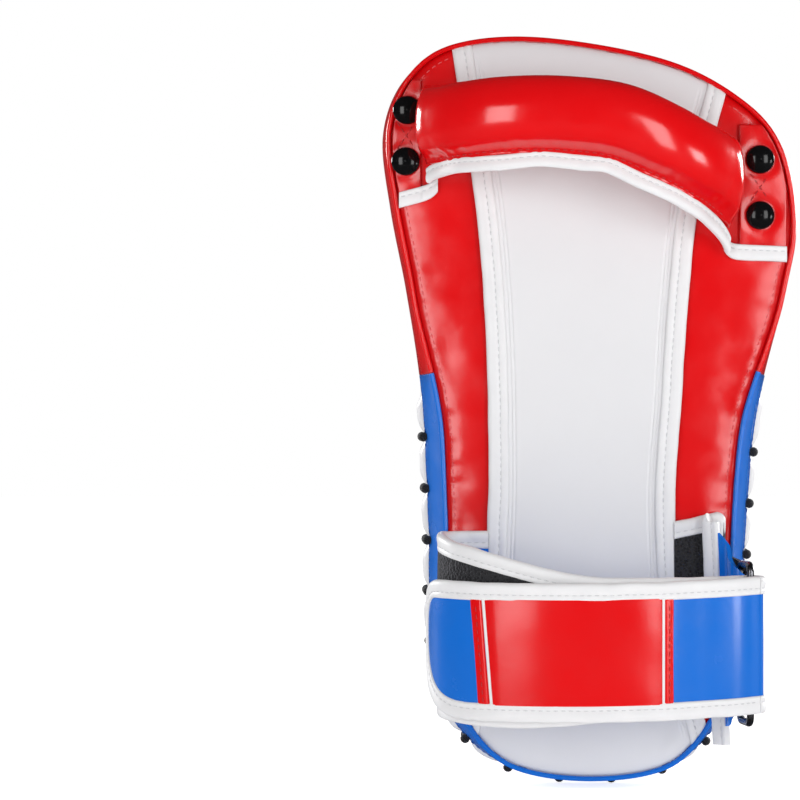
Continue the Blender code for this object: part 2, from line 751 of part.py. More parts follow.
def make_tail(pad, main):
    """The free end: blue outside with a red patch, hooks on the inner side of its tip."""
    tail = tail_track(main)
    length = tail.length[-1]
    path, normal = tip_outline(tail)
    edge = BINDING_SKIN + 0.3 * MM
    inner = [(s + ns * edge, z + nz * edge) for (s, z), (ns, nz) in zip(path, normal)]
    half = len(path) // 2
    near, far = -STRAP_HALF + 0.2 * MM, STRAP_HALF - 0.2 * MM
    slab("tail_band", tail, inner[:half], inner[half:][::-1], near, far, "blue_leather", pad)
    binding("tail_binding", tail, path, normal, "white_binding", pad)
    shift = tail_shift(length)
    clear = BINDING_WIDTH + 2 * GAP
    pieces = (
        ("tail_patch", tail.where_x(45 * MM), tail.where_x(-57 * MM), STRAP_HALF, 0.8 * MM, "red_leather"),
        ("hook_tape", length - 88 * MM, length - 34 * MM, -STRAP_HALF, -STRAP_LAYER, "black_pile"),
    )
    for name, start, stop, face, thick, finish in pieces:
        run = tail.stations(start, stop)
        slab(name, tail, [(s, STRAP_LOW + shift(s) + clear) for s in run],
             [(s, STRAP_HIGH + shift(s) - clear) for s in run],
             min(face, face + thick), max(face, face + thick), finish, pad)


def make_ring(pad):
    """A rectangle of bent wire with rounded corners."""
    inner, outer = np.array(RING_INNER), np.array(RING_OUTER)
    across = (outer - inner) / np.linalg.norm(outer - inner)
    corner = 4 * MM
    points = []
    for (at, z, turn, up) in ((inner, RING_LOW, 1, 1), (outer, RING_LOW, -1, 1),
                              (outer, RING_HIGH, -1, -1), (inner, RING_HIGH, 1, -1)):
        centre = np.array([*(at + across * corner * turn), z + corner * up])
        arc = []
        for a in np.linspace(0, math.pi / 2, 4):
            flat = -across * corner * turn * math.cos(a)
            arc.append((centre[0] + flat[0], centre[1] + flat[1], centre[2] - corner * up * math.sin(a)))
        points += arc if (turn > 0) == (up > 0) else arc[::-1]
    wire("strap_ring", points, RING_RADIUS, "dark_metal", pad, cyclic=True, resolution=2)


def make_holder(pad):
    """The tab that holds the ring: pile side up on the pad, wrapped round the bar and back."""
    centre = np.array(RING_INNER)
    wrap = [centre + FOLD_RADIUS * np.array([math.cos(a), math.sin(a)])
            for a in np.radians(np.linspace(28, -178, 11))]
    base = resampled(smooth_curve([np.array(p) * MM for p in HOLDER_PATH] + [wrap[0]], 6), 16)
    base = Track(np.vstack([base[:-1], wrap[:6]]))
    back = smooth_curve([wrap[-1]] + [np.array(p) * MM for p in FLAP_PATH], 3)
    flap = Track(np.vstack([wrap[6:], back[1:]]))
    edge = BINDING_SKIN + 0.3 * MM
    near, far = -STRAP_HALF + 0.2 * MM, STRAP_HALF - 0.2 * MM

    end = base.length[-1]
    low = linear(-34 * MM, STRAP_LOW, end)
    peak = base.where_x(HOLDER_PEAK[0])

    def high(s):
        rising = 68 * MM + (HOLDER_PEAK[1] - 68 * MM) * s / peak
        falling = HOLDER_PEAK[1] + (STRAP_HIGH - HOLDER_PEAK[1]) * (s - peak) / (end - peak)
        return rising if s < peak else falling

    start_low = base.where_x(trim_x(1, -30 * MM) + 1.2 * MM)
    start_high = base.where_x(trim_x(1, 62 * MM) + 1.2 * MM)
    slab("holder_base", base, edge_path(base, start_low, low, edge),
         edge_path(base, start_high, high, -edge - 1 * MM), near, far, "black_pile", pad)
    edge_binding("holder_binding_lower", base, edge_path(base, start_low, low), 1, pad)
    edge_binding("holder_binding_upper", base, edge_path(base, start_high, high), -1, pad)

    end = flap.length[-1]
    low, high = linear(STRAP_LOW, -51 * MM, end), linear(STRAP_HIGH, 73 * MM, end)
    band = flap.stations(0, end - BINDING_WIDTH - 1 * MM) + [end - edge - 0.5 * MM]
    slab("holder_flap", flap, [(s, low(s) + 2 * MM) for s in band],
         [(s, high(s) - 2 * MM) for s in band], near, far, "blue_leather", pad)
    binding("flap_binding", flap, [(end, high(end)), (end, low(end))], [(-1, 0)] * 2,
            "white_binding", pad)


# ---- grip ---------------------------------------------------------------------------
def grip_stations(count):
    """Middle points of the grip with the share of its full section at each."""
    curve = smooth_curve([(x, -h, z) for x, h, z in GRIP_PATH], 8) * MM
    points = resampled(curve, count)
    place = np.linspace(0, 1, count)
    full = np.clip(np.minimum(place, 1 - place) / 0.16, 0, 1)
    full = full * full * (3 - 2 * full)
    turn = np.gradient(points, axis=0)
    return points, turn / np.linalg.norm(turn, axis=1)[:, None], full


def grip_frame(turn):
    """Directions across the grip: up the pad, and away from it."""
    up = np.array([0, 0, 1.0])
    up -= turn * (up @ turn)
    up /= np.linalg.norm(up)
    return up, np.cross(up, turn)


def grip_rings(count, around, shrink):
    points, turns, full = grip_stations(count)
    rings = []
    for p, turn, share in zip(points, turns, full):
        up, away = grip_frame(turn)
        depth = GRIP_END_DEPTH + (GRIP_HALF_DEPTH - GRIP_END_DEPTH) * share - shrink
        height = GRIP_HALF_HEIGHT - shrink
        rings.append([p + up * height * math.cos(a) + away * depth * math.sin(a)
                      for a in np.linspace(0, 2 * math.pi, around, endpoint=False)])
    return rings


def make_grip(pad):
    bm = bmesh.new()
    add_grid(bm, grip_rings(22, 14, 0), wrap=True)
    bmesh.ops.recalc_face_normals(bm, faces=bm.faces)
    mesh = bpy.data.meshes.new("grip_cover")
    bm.to_mesh(mesh)
    bm.free()
    mesh.shade_smooth()
    cover = add_object("grip_cover", mesh, "red_leather", pad)
    skin = cover.modifiers.new("thickness", "SOLIDIFY")
    skin.thickness = 1.2 * MM
    skin.offset = -1
    loft("grip_foam", grip_rings(22, 10, 2.2 * MM)[3:-3], "foam", pad)
    make_grip_binding(pad)


def make_grip_binding(pad):
    """White tape along the grip's closed lower edge, from tab to tab."""
    points, turns, _ = grip_stations(24)
    rings = []
    for p, turn in zip(points, turns):
        up, away = grip_frame(turn)
        top = p - up * (GRIP_HALF_HEIGHT + GAP)
        low = top - up * (GRIP_FLANGE + 4 * MM)
        half = 1.9 * MM
        rings.append([top + away * half, top - away * half, low - away * half, low + away * half])
    loft("grip_binding", rings, "white_binding", pad)


def tab_rows(side, lift):
    x0, x1, z0, z1, slope = (v * MM for v in TABS[side])
    sign = -1 if side == "left" else 1
    rows = []
    for share in np.linspace(0, 1, 7):
        height = z0 + (z1 - z0) * share
        limit = seam_x(sign, height) - sign * 1.5 * MM
        if sign < 0:
            xs = np.linspace(max(x0, limit), x1, 4)
        else:
            xs = np.linspace(x0, min(x1, limit), 4)
        row = []
        for x in xs:
            z = height + slope * (x - x0) / (x1 - x0) * (1 - share)
            row.append((x, side_y(x, z) - GAP - lift, z))
        rows.append(row)
    return rows


def make_tabs(pad, cutters):
    for side in TABS:
        tab = sheet(f"grip_tab_{side}", tab_rows(side, TAB_THICK), TAB_THICK, backward,
                    "red_leather", pad)
        cut_rivet_holes(tab, side, cutters)
        cut_rivet_holes(bpy.data.objects[f"back_panel_{side}"], side, cutters)
        lower = tab_rows(side, TAB_THICK)[0]
        rings = []
        for x, y, z in lower:
            far, near = y - 0.6 * MM, y + TAB_THICK
            rings.append([(x, far, z - GAP), (x, near, z - GAP),
                          (x, near, z - 8 * MM), (x, far, z - 8 * MM)])
        loft(f"tab_binding_{side}", rings, "white_binding", pad)


def cut_rivet_holes(obj, side, cutters):
    for name, (x, z) in RIVETS.items():
        if (x < 0) != (side == "left"):
            continue
        hole = cutters.get(name)
        if hole is None:
            bpy.ops.mesh.primitive_cylinder_add(
                vertices=12, radius=RIVET_SHANK + GAP, depth=30 * MM,
                location=(x * MM, 0, z * MM), rotation=(math.pi / 2, 0, 0))
            hole = bpy.context.object
            hole.name = f"hole_{name}"
            hole.hide_render = True
            hole.display_type = "WIRE"
            cutters[name] = hole
        cut = obj.modifiers.new(f"hole_{name}", "BOOLEAN")
        cut.operation = "DIFFERENCE"
        cut.object = hole


def make_rivets(pad):
    """Domed cap outside the tab, shank through tab and panel, washer inside."""
    for name, (x, z) in RIVETS.items():
        x, z = x * MM, z * MM
        face = side_y(x, z)
        under_cap = face - 2 * GAP - TAB_THICK
        # the tab follows the curved panel, so the cap's rim keeps clear of its proudest point
        rim = max(abs(side_y(x + dx, z + dz) - face)
                  for dx in (-RIVET_CAP, RIVET_CAP, 0) for dz in (-RIVET_CAP, RIVET_CAP, 0))
        under_cap -= rim * 0.8
        inner = face + LEATHER + 0.4 * MM + min(rim * 0.6, 0.6 * MM)
        profile = [(0, under_cap - 3.2 * MM), (4 * MM, under_cap - 2.7 * MM),
                   (6.6 * MM, under_cap - 1.5 * MM), (RIVET_CAP, under_cap - 0.4 * MM),
                   (RIVET_CAP - 0.4 * MM, under_cap), (RIVET_SHANK, under_cap),
                   (RIVET_SHANK, inner), (3.6 * MM, inner), (3.6 * MM, inner + 0.8 * MM),
                   (0, inner + 0.8 * MM)]
        mesh = bpy.data.meshes.new(f"rivet_{name}")
        mesh.from_pydata([(r, 0, -y) for r, y in profile],
                         [(k, k + 1) for k in range(len(profile) - 1)], [])
        rivet = add_object(f"rivet_{name}", mesh, "black_cap", pad)
        turn = rivet.modifiers.new("turn", "SCREW")
        turn.steps = turn.render_steps = 14
        turn.use_merge_vertices = True
        turn.merge_threshold = 0.00001
        turn.use_normal_calculate = True
        # the profile turns about the object's Z, which points out of the pad's back
        rivet.rotation_euler = (math.pi / 2, 0, 0)
        rivet.location = (x, 0, z)


def main():
    clear_scene()
    pad = bpy.data.collections.new("thai_pad")
    helpers = bpy.data.collections.new("cutters")
    for collection in (pad, helpers):
        bpy.context.scene.collection.children.link(collection)
    make_walls(pad)
    make_front_panel(pad)
    make_foam(pad)
    make_back(pad)
    make_welts(pad)
    make_lacing(pad)
    main_band = make_strap(pad)
    make_tail(pad, main_band)
    make_ring(pad)
    make_holder(pad)
    make_grip(pad)
    cutters = {}
    make_tabs(pad, cutters)
    make_rivets(pad)
    for hole in cutters.values():
        for owner in list(hole.users_collection):
            owner.objects.unlink(hole)
        helpers.objects.link(hole)


main()
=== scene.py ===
"""Looks of the kick pad: leather over foam, laced side, padded grip and forearm strap.

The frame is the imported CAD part: the arm's side faces -Y, the striking face +Y and the
hand end is up. Lengths are millimetres times MM. The pad's surfaces are worked out here
from the same outline as the CAD, then built finer, with hems, binding, stitches and
creases.
"""

import math

import bpy
import numpy as np
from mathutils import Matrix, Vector, noise

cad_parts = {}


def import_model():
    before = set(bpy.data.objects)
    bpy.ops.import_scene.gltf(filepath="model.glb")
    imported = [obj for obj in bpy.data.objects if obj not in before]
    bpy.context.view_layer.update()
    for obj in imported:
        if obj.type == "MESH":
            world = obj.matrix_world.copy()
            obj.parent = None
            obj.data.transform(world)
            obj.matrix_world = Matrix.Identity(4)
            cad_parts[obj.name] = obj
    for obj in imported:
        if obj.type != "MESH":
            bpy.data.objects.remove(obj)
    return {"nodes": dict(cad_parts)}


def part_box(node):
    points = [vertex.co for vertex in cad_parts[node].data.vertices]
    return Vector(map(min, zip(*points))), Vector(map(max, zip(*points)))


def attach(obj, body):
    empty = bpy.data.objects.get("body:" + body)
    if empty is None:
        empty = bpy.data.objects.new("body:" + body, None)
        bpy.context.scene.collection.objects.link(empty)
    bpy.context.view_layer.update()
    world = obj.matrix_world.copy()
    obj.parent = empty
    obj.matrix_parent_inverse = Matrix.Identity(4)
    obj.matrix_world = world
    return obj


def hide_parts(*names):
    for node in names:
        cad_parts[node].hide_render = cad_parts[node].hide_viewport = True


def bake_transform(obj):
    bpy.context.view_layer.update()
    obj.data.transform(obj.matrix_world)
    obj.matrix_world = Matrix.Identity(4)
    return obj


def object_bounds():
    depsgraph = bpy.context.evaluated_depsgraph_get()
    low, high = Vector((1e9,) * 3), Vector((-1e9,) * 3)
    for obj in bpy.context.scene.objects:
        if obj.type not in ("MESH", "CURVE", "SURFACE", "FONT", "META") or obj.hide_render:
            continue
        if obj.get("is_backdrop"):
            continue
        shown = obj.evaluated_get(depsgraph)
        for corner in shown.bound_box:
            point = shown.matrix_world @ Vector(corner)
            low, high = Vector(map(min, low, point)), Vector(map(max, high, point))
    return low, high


MM = 0.001

# ---- the pad's shape, as in the CAD -------------------------------------------------
OUTLINE = (
    (-25, 327.5), (-73, 324), (-99, 307), (-111, 277), (-107, 238), (-98.5, 193),
    (-90.5, 140), (-86.8, 70), (-84.8, 0), (-75, -37.5), (-47, -63.5), (0, -71.5),
    (47, -64), (74.5, -37.5), (85.3, 0), (87, 60), (92.8, 125), (108, 192),
    (113.5, 228), (106, 268), (84, 294), (42, 315.5),
)
SPINE_LOW, SPINE_HIGH = 0 * MM, 225 * MM
SEAM_BACK = 6 * MM
WALL = 70 * MM
SEAM_FRONT = SEAM_BACK + WALL
CROWN_FRONT = 9 * MM
CROWN_ARM = 6 * MM
CROWN_SIDE = 3.5 * MM
SEAM_INSET_SIDE = 9 * MM
SEAM_INSET_BACK = (10.5 * MM, 4.5 * MM)
SEAM_INSET_CHANGE = (110 * MM, 185 * MM)
SEAM_INSET_BACK_ENDS = 2 * MM
SEAM_INSET_FRONT_TOP = 17 * MM
PLATEAU = 0.35
GAP = 0.4 * MM
WELT = 1.4 * MM
WALL_SPLIT = 147 * MM
LACE_TOP = 131 * MM
GUSSET_EDGES = (0.4, 0.6)
LACE_RADIUS = 1.5 * MM
LACE_PITCH = 28 * MM
# first crossing of each run: below the left side's top, and above the knot
LACE_START = (17.7 * MM, 10.5 * MM)
KNOT_Z = 3 * MM
TRIM_Z = (-72, -45, 0, 75, 134, 187, 240, 300, 330)
TRIM_LEFT = (-76, -70, -59, -54.5, -54.6, -56.7, -61.5, -70.5, -75)
TRIM_RIGHT = (70, 64, 51, 46, 49.5, 53, 59, 74, 82)
TRIM_WIDTH = 11 * MM
BINDING_HALF = 2.5 * MM
BINDING_WIDTH = 9.5 * MM
STRAP_LOW, STRAP_HIGH = -31 * MM, 41 * MM
STRAP_LEFT_LOW, STRAP_LEFT_HIGH = -34 * MM, 63 * MM
STRAP_SPACING = 5.9 * MM
TAIL_SAG = 2.6 * MM
TAIL_TIP = 34 * MM
BAND_SAG = 4.5 * MM
RING_RADIUS = 2 * MM
RING_INNER = (79 * MM, -20 * MM)
RING_OUTER = (82 * MM, -44 * MM)
RING_LOW, RING_HIGH = -36.5 * MM, 46.5 * MM
FOLD_RADIUS = RING_RADIUS + BINDING_HALF + 1.2 * MM
STRAP_PULL = np.array((0.788, 0.616)) / math.hypot(0.788, 0.616)
PULL_NORMAL = np.array((STRAP_PULL[1], -STRAP_PULL[0]))
STRAP_PATH = (
    (-54, 0.2), (-60, 0.7), (-66.5, 1.1), (-73.5, -1.5), (-78.2, -9), (-79.6, -22), (-78.4, -38),
    (-71.5, -51.5), (-56, -61.5), (-31, -67.5), (0, -69.5), (30, -66.5), (52, -59), (66.5, -50),
)
HOLDER_PATH = ((45, -0.3), (54, 0), (62, 0.4), (70, -0.9), (78, -5), (83, -11))
HOLDER_PEAK = (69 * MM, 73 * MM)
FLAP_PATH = ((72.8, -15.2), (69.6, -11.7), (64.6, -8.6), (59.6, -5.5))
GRIP_PATH = (
    (-87.0, 6.0, 279), (-79.5, 16, 279.6), (-67, 32, 280.6), (-46, 40.5, 282.5), (-18, 43.5, 282.6),
    (12, 43.8, 279), (37, 39.8, 269), (55, 29.5, 260), (67, 15.5, 253.5), (75.5, 6.0, 247.5),
)
GRIP_HALF_HEIGHT = 20.5 * MM
GRIP_HALF_DEPTH = 14 * MM
GRIP_END_DEPTH = 3 * MM
TABS = {"left": (-106, -90.5, 243, 305, 4), "right": (80.5, 106, 216, 281, -1)}
TAB_THICK = 2.4 * MM
RIVETS = {"1": (-97.8, 288.5), "2": (-98.6, 261), "3": (91.5, 262), "4": (91.5, 232)}
RIVET_CAP = 7.5 * MM

# ---- looks --------------------------------------------------------------------------
# thicknesses of leather and tape
PANEL_THICK = 1.5 * MM
COVER_THICK = 1.6 * MM
TONGUE_THICK = 1.2 * MM
TRIM_THICK = 0.8 * MM
TAB_LEATHER = 2.2 * MM
STRAP_SKIN = 1.15 * MM
# how far the leather is drawn in at a seam, and over what reach
SEAM_TUCK = 1.6 * MM
# the panels' edges lie under the trims and tapes by these
PANEL_UNDERLAP = 5 * MM
ARM_UNDERLAP = 4 * MM
STRAP_UNDERLAP = 1.2 * MM
KNOT_ROOM = 7 * MM
PATCH_SLANT = -4.5 * MM
STITCH_PITCH = 3.9 * MM
STITCH_LENGTH = 2.7 * MM
THREAD = 0.33 * MM
TONGUE_BULGE = 3.2 * MM
TIP_CORNERS = (22 * MM, 44 * MM)
EMBLEM_CENTRE = (0.0, 14 * MM)
EMBLEM_RADIUS = 28 * MM
EMBLEM_RINGS = ((0.93, 1.0), (0.78, 0.81))
AMBIENT = 0.41
REFLECTED = 0.04
# name, place, size in metres, and watts of each softbox
LAMPS = (
    ("left_box", (-0.74, -1.65, 0.08), (0.5, 1.5), 12.5),
    ("right_box", (0.88, -1.55, 0.12), (0.5, 1.5), 12.5),
    ("strap_box", (1.55, -0.8, 0.1), (0.35, 0.35), 3.5),
    ("front_left_box", (-1.6, 1.2, 0.5), (0.5, 0.5), 20),
    ("front_right_box", (1.6, 1.2, 0.5), (0.5, 0.5), 20),
)
LIGHT_TARGET = (0, 0, 0.13)
FLOOR_REACH = 6.0
FLOOR_DROP = 0.5 * MM
# the floor's glow in the room and to the eye
FLOOR_GLOW = (0.34, 0.75)
LENS = 168
CAMERA_BACK = -2.0
CAMERA_SHIFT = (-102.5 * MM, 6 * MM)

# ---- curves and surfaces ------------------------------------------------------------
def smooth_curve(points, steps=10, closed=False):
    """Catmull-Rom curve through the points, as an array."""
    given = np.array(points, float)
    if closed:
        given = np.vstack([given[-1], given, given[:2]])
    else:
        given = np.vstack([2 * given[0] - given[1], given, 2 * given[-1] - given[-2]])
    made = []
    for a, b, c, d in zip(given, given[1:], given[2:], given[3:]):
        for t in np.arange(steps) / steps:
            made.append(
                0.5 * (2 * b + (c - a) * t + (2 * a - 5 * b + 4 * c - d) * t**2
                       + (3 * b - a - 3 * c + d) * t**3)
            )
    if not closed:
        made.append(given[-2])
    return np.array(made)


def along(points):
    """Distance of each point from the first, along the line through them."""
    steps = np.linalg.norm(np.diff(points, axis=0), axis=1)
    return np.concatenate([[0], np.cumsum(steps)])


def at_distance(wanted, length, values):
    """Rows of values at given distances, between those known at length."""
    return np.stack([np.interp(wanted, length, column) for column in values.T], axis=-1)


def resampled(points, count):
    """The same line through `count` points, evenly spaced."""
    length = along(points)
    return at_distance(np.linspace(0, length[-1], count), length, points)


def smoothstep(value, low=0.0, high=1.0):
    t = np.clip((value - low) / (high - low), 0, 1)
    return t * t * (3 - 2 * t)


def closed_ring(points, count):
    return resampled(np.vstack([points, points[:1]]), count + 1)[:-1]


RING = closed_ring(smooth_curve(OUTLINE, 20, closed=True), 2880) * MM
_turn = np.roll(RING, -1, axis=0) - np.roll(RING, 1, axis=0)
RING_NORMAL = np.column_stack([_turn[:, 1], -_turn[:, 0]])
RING_NORMAL /= np.linalg.norm(RING_NORMAL, axis=1)[:, None]
ALL_ROUND = np.arange(len(RING))


def seam_insets(normal, height):
    """How far the back and the front seam lie inside the outline."""
    end = normal[:, 1] ** 2
    top = np.clip(normal[:, 1], 0, 1) ** 2
    climb = smoothstep(height, *SEAM_INSET_CHANGE)
    back = SEAM_INSET_BACK[0] + (SEAM_INSET_BACK[1] - SEAM_INSET_BACK[0]) * climb
    back = back + (SEAM_INSET_BACK_ENDS - back) * end
    front = SEAM_INSET_SIDE + (SEAM_INSET_FRONT_TOP - SEAM_INSET_SIDE) * top
    return back, front


def wall_points(index, share, inset=0.0):
    """Points of the side wall at ring places `index`, `share` of the way to the front."""
    normal = RING_NORMAL[index]
    back, front = seam_insets(normal, RING[index, 1])
    widest = np.sqrt(back) / (np.sqrt(back) + np.sqrt(front))
    depth = back / widest**2 * (share - widest) ** 2 + inset
    flat = RING[index] - normal * depth[:, None]
    y = SEAM_BACK + share * WALL + np.zeros(len(index))
    return np.column_stack([flat[:, 0], y, flat[:, 1]])


def wall_out(index):
    """Outward directions at ring places."""
    normal = RING_NORMAL[index]
    return np.column_stack([normal[:, 0], np.zeros(len(index)), normal[:, 1]])


BACK_SEAM = wall_points(ALL_ROUND, 0.0)[:, [0, 2]]


def split_ring(ring, axis):
    """The two halves of a ring as tables of the other coordinate over `axis`."""
    first, last = ring[:, axis].argmax(), ring[:, axis].argmin()
    order = np.arange(first, first + len(ring) + 1) % len(ring)
    cut = int(np.where(order == last)[0][0])
    halves = []
    for part in (ring[order[: cut + 1]], ring[order[cut:]]):
        part = part[np.argsort(part[:, axis], kind="stable")]
        halves.append((part[:, axis], part[:, 1 - axis]))
    return halves


SIDES = split_ring(BACK_SEAM, 1)
ENDS = split_ring(BACK_SEAM, 0)


def seam_x(side, z):
    return np.interp(z, *SIDES[0 if side < 0 else 1])


def seam_z(x, low=False):
    return np.interp(x, *ENDS[1 if low else 0])


def spine_point(z):
    held = np.clip(z, SPINE_LOW, SPINE_HIGH)
    return np.stack([(seam_x(-1, held) + seam_x(1, held)) / 2, held], axis=-1)


def end_table(z):
    """A rounded end's centre on the spine, and its radius over the angle."""
    centre = spine_point(z)
    spoke = BACK_SEAM - centre
    angle = np.arctan2(spoke[:, 1], spoke[:, 0])
    order = np.argsort(angle)
    return centre, angle[order], np.linalg.norm(spoke, axis=1)[order]


END_TABLES = {"low": end_table(SPINE_LOW), "high": end_table(SPINE_HIGH)}


def share_out(x, z):
    """0 on the spine, 1 on the back seam."""
    x, z = np.asarray(x, float), np.asarray(z, float)
    left, right = seam_x(-1, z), seam_x(1, z)
    share = np.abs(x - (left + right) / 2) / ((right - left) / 2)
    for which, beyond in (("low", z < SPINE_LOW), ("high", z > SPINE_HIGH)):
        centre, angles, radii = END_TABLES[which]
        dx, dz = x - centre[0], z - centre[1]
        radius = np.interp(np.arctan2(dz, dx), angles, radii, period=2 * math.pi)
        share = np.where(beyond, np.hypot(dx, dz) / radius, share)
    return np.minimum(share, 1.0)


def rise(share, height, power=2.5):
    """A crown's height: flat in the middle, nothing at the seam."""
    return height * (1 - np.maximum(0.0, (share - PLATEAU) / (1 - PLATEAU)) ** power)


def arm_y(x, z):
    return SEAM_BACK - rise(share_out(x, z), CROWN_ARM)


def side_y(x, z):
    return SEAM_BACK - rise(share_out(x, z), CROWN_SIDE)


TRIM_TABLES = {
    side: smooth_curve(list(zip(TRIM_Z, edge)), 8) * MM
    for side, edge in ((-1, TRIM_LEFT), (1, TRIM_RIGHT))
}


def trim_x(side, z):
    table = TRIM_TABLES[side]
    return np.interp(z, table[:, 0], table[:, 1])


def ripple(points, size, strength, seed=0.0):
    """Smooth noise at 3D points, between -strength and strength."""
    return np.array([
        noise.noise(Vector((p[0] / size + seed, p[1] / size - seed, p[2] / size + 2 * seed)))
        for p in points
    ]) * strength


def wave(length, size, second, third):
    """Smooth noise at distances along a line, between -1 and 1."""
    return np.array([noise.noise(Vector((s / size, second, third))) for s in length])


def crumple(s, z, size_s, size_z, seed):
    """Smooth noise at one point of a flat pattern, between -1 and 1."""
    return noise.noise(Vector((s / size_s, z / size_z, seed)))


# ---- mesh helpers -------------------------------------------------------------------
def new_piece(name, vertices, faces, finish, seam=None):
    mesh = bpy.data.meshes.new(name)
    mesh.from_pydata([tuple(v) for v in vertices], [], faces)
    mesh.validate()
    # seam: a per-point mask that darkens the leather's colour, partly dirt and partly painted shade
    if seam is not None:
        mark = mesh.attributes.new("seam", "FLOAT", "POINT")
        mark.data.foreach_set("value", np.asarray(seam, np.float32))
    mesh.shade_smooth()
    obj = bpy.data.objects.new(name, mesh)
    bpy.context.scene.collection.objects.link(obj)
    mesh.materials.append(finish)
    return obj


def grid_faces(rows, columns, wrap=False):
    faces = []
    for r in range(rows - 1):
        for c in range(columns if wrap else columns - 1):
            n = (c + 1) % columns
            a, b = r * columns, (r + 1) * columns
            faces.append((a + c, a + n, b + n, b + c))
    return faces


def turn_outward(obj, direction):
    """Flips the faces if most of them look against direction(centre)."""
    mesh = obj.data
    if sum(p.area * Vector(direction(p.center)).dot(p.normal) for p in mesh.polygons) < 0:
        mesh.flip_normals()


def skin(name, rows, finish, thickness, direction, seam=None, closed=False):
    """Leather from rows of outer points, thickened inwards with a rounded rim.

    When closed, each row is a ring and the last one is filled in."""
    rows = np.asarray(rows)
    count, columns = rows.shape[:2]
    faces = grid_faces(count, columns, closed)
    if closed:
        faces.append(tuple(range((count - 1) * columns, count * columns)))
    obj = new_piece(name, rows.reshape(-1, 3), faces, finish, seam)
    turn_outward(obj, direction)
    thick = obj.modifiers.new("leather", "SOLIDIFY")
    thick.thickness = thickness
    thick.offset = -1
    rim = obj.modifiers.new("rim", "BEVEL")
    rim.width = min(0.45 * MM, thickness * 0.45)
    rim.segments = 2
    rim.limit_method = "ANGLE"
    rim.angle_limit = math.radians(50)
    return obj


def lofted(name, rings, finish, seam=None):
    """A closed body through rings of equal count."""
    rings = np.asarray(rings)
    count, around = rings.shape[:2]
    faces = grid_faces(count, around, wrap=True)
    faces.append(tuple(range(around))[::-1])
    faces.append(tuple(range((count - 1) * around, count * around)))
    points = rings.reshape(-1, 3)
    obj = new_piece(name, points, faces, finish, seam)
    middle = Vector(points.mean(0))
    turn_outward(obj, lambda centre: centre - middle)
    obj.data.set_sharp_from_angle(angle=math.radians(50))
    return obj


def slab(name, along_it, across_it, faces_at, finish):
    """A closed flat body: faces_at(u, v) gives its outer and its inner point."""
    rings = []
    for u in along_it:
        outer, inner = zip(*(faces_at(u, v) for v in across_it))
        rings.append([*outer, *inner[::-1]])
    return lofted(name, rings, finish)


def frames_along(path, hint):
    """Tangents and two cross directions at each point of a path, the first near `hint`."""
    path = np.asarray(path, float)
    turn = np.gradient(path, axis=0)
    turn /= np.linalg.norm(turn, axis=1)[:, None]
    hint = np.broadcast_to(np.asarray(hint, float), path.shape)
    first = hint - turn * np.sum(hint * turn, axis=1)[:, None]
    first /= np.linalg.norm(first, axis=1)[:, None]
    return turn, first, np.cross(turn, first)


def tube(name, path, radius, finish, hint=(0, 1, 0), around=10, flat=1.0, radii=None):
    """A round or flattened cord along a path."""
    path = np.asarray(path, float)
    _, first, second = frames_along(path, hint)
    radii = np.full(len(path), radius) if radii is None else radii
    angles = np.linspace(0, 2 * math.pi, around, endpoint=False)
    rings = [
        [p + (f * math.cos(a) * flat + s * math.sin(a)) * r for a in angles]
        for p, f, s, r in zip(path, first, second, radii)
    ]
    return lofted(name, rings, finish)


def joined(name, pieces):
    """Several new objects as one, in place."""
    main = pieces[0]
    if len(pieces) > 1:
        with bpy.context.temp_override(active_object=main, selected_editable_objects=pieces,
                                       object=main, selected_objects=pieces):
            bpy.ops.object.join()
    main.name = main.data.name = name
    return main


def stitches(name, path, normals, finish):
    """A row of thread stitches on a surface path. Each one dips into the leather at its ends."""
    pitch, length, radius, sink = STITCH_PITCH, STITCH_LENGTH, THREAD, 0.1 * MM
    path, normals = np.asarray(path, float), np.asarray(normals, float)
    distance = along(path)
    vertices, faces = [], []
    # each station's place along the stitch, lift and share of the thread's radius
    shape = ((-0.5, -1.0, 0.35), (-0.38, 0.1, 0.9), (0, 0.55, 1.0), (0.38, 0.1, 0.9),
             (0.5, -1.0, 0.35))
    sides = 6

    def at(s):
        normal = at_distance(s, distance, normals)
        return at_distance(s, distance, path), normal / np.linalg.norm(normal)

    for s in np.arange(pitch * 0.6, distance[-1] - pitch * 0.5, pitch):
        start = len(vertices)
        for place, lift, size in shape:
            point, normal = at(s + place * length)
            ahead = at(s + place * length + 0.3 * MM)[0] - at(s + place * length - 0.3 * MM)[0]
            ahead /= np.linalg.norm(ahead)
            across = np.cross(normal, ahead)
            centre = point + normal * (lift * radius - sink)
            for k in range(sides):
                a = 2 * math.pi * k / sides
                spoke = across * math.cos(a) + normal * math.sin(a)
                vertices.append(centre + spoke * radius * size)
        for r in range(len(shape) - 1):
            for k in range(sides):
                n = (k + 1) % sides
                a, b = start + r * sides, start + (r + 1) * sides
                faces.append((a + k, a + n, b + n, b + k))
        faces.append(tuple(range(start, start + sides))[::-1])
        end = start + (len(shape) - 1) * sides
        faces.append(tuple(range(end, end + sides)))
    return new_piece(name, vertices, faces, finish)


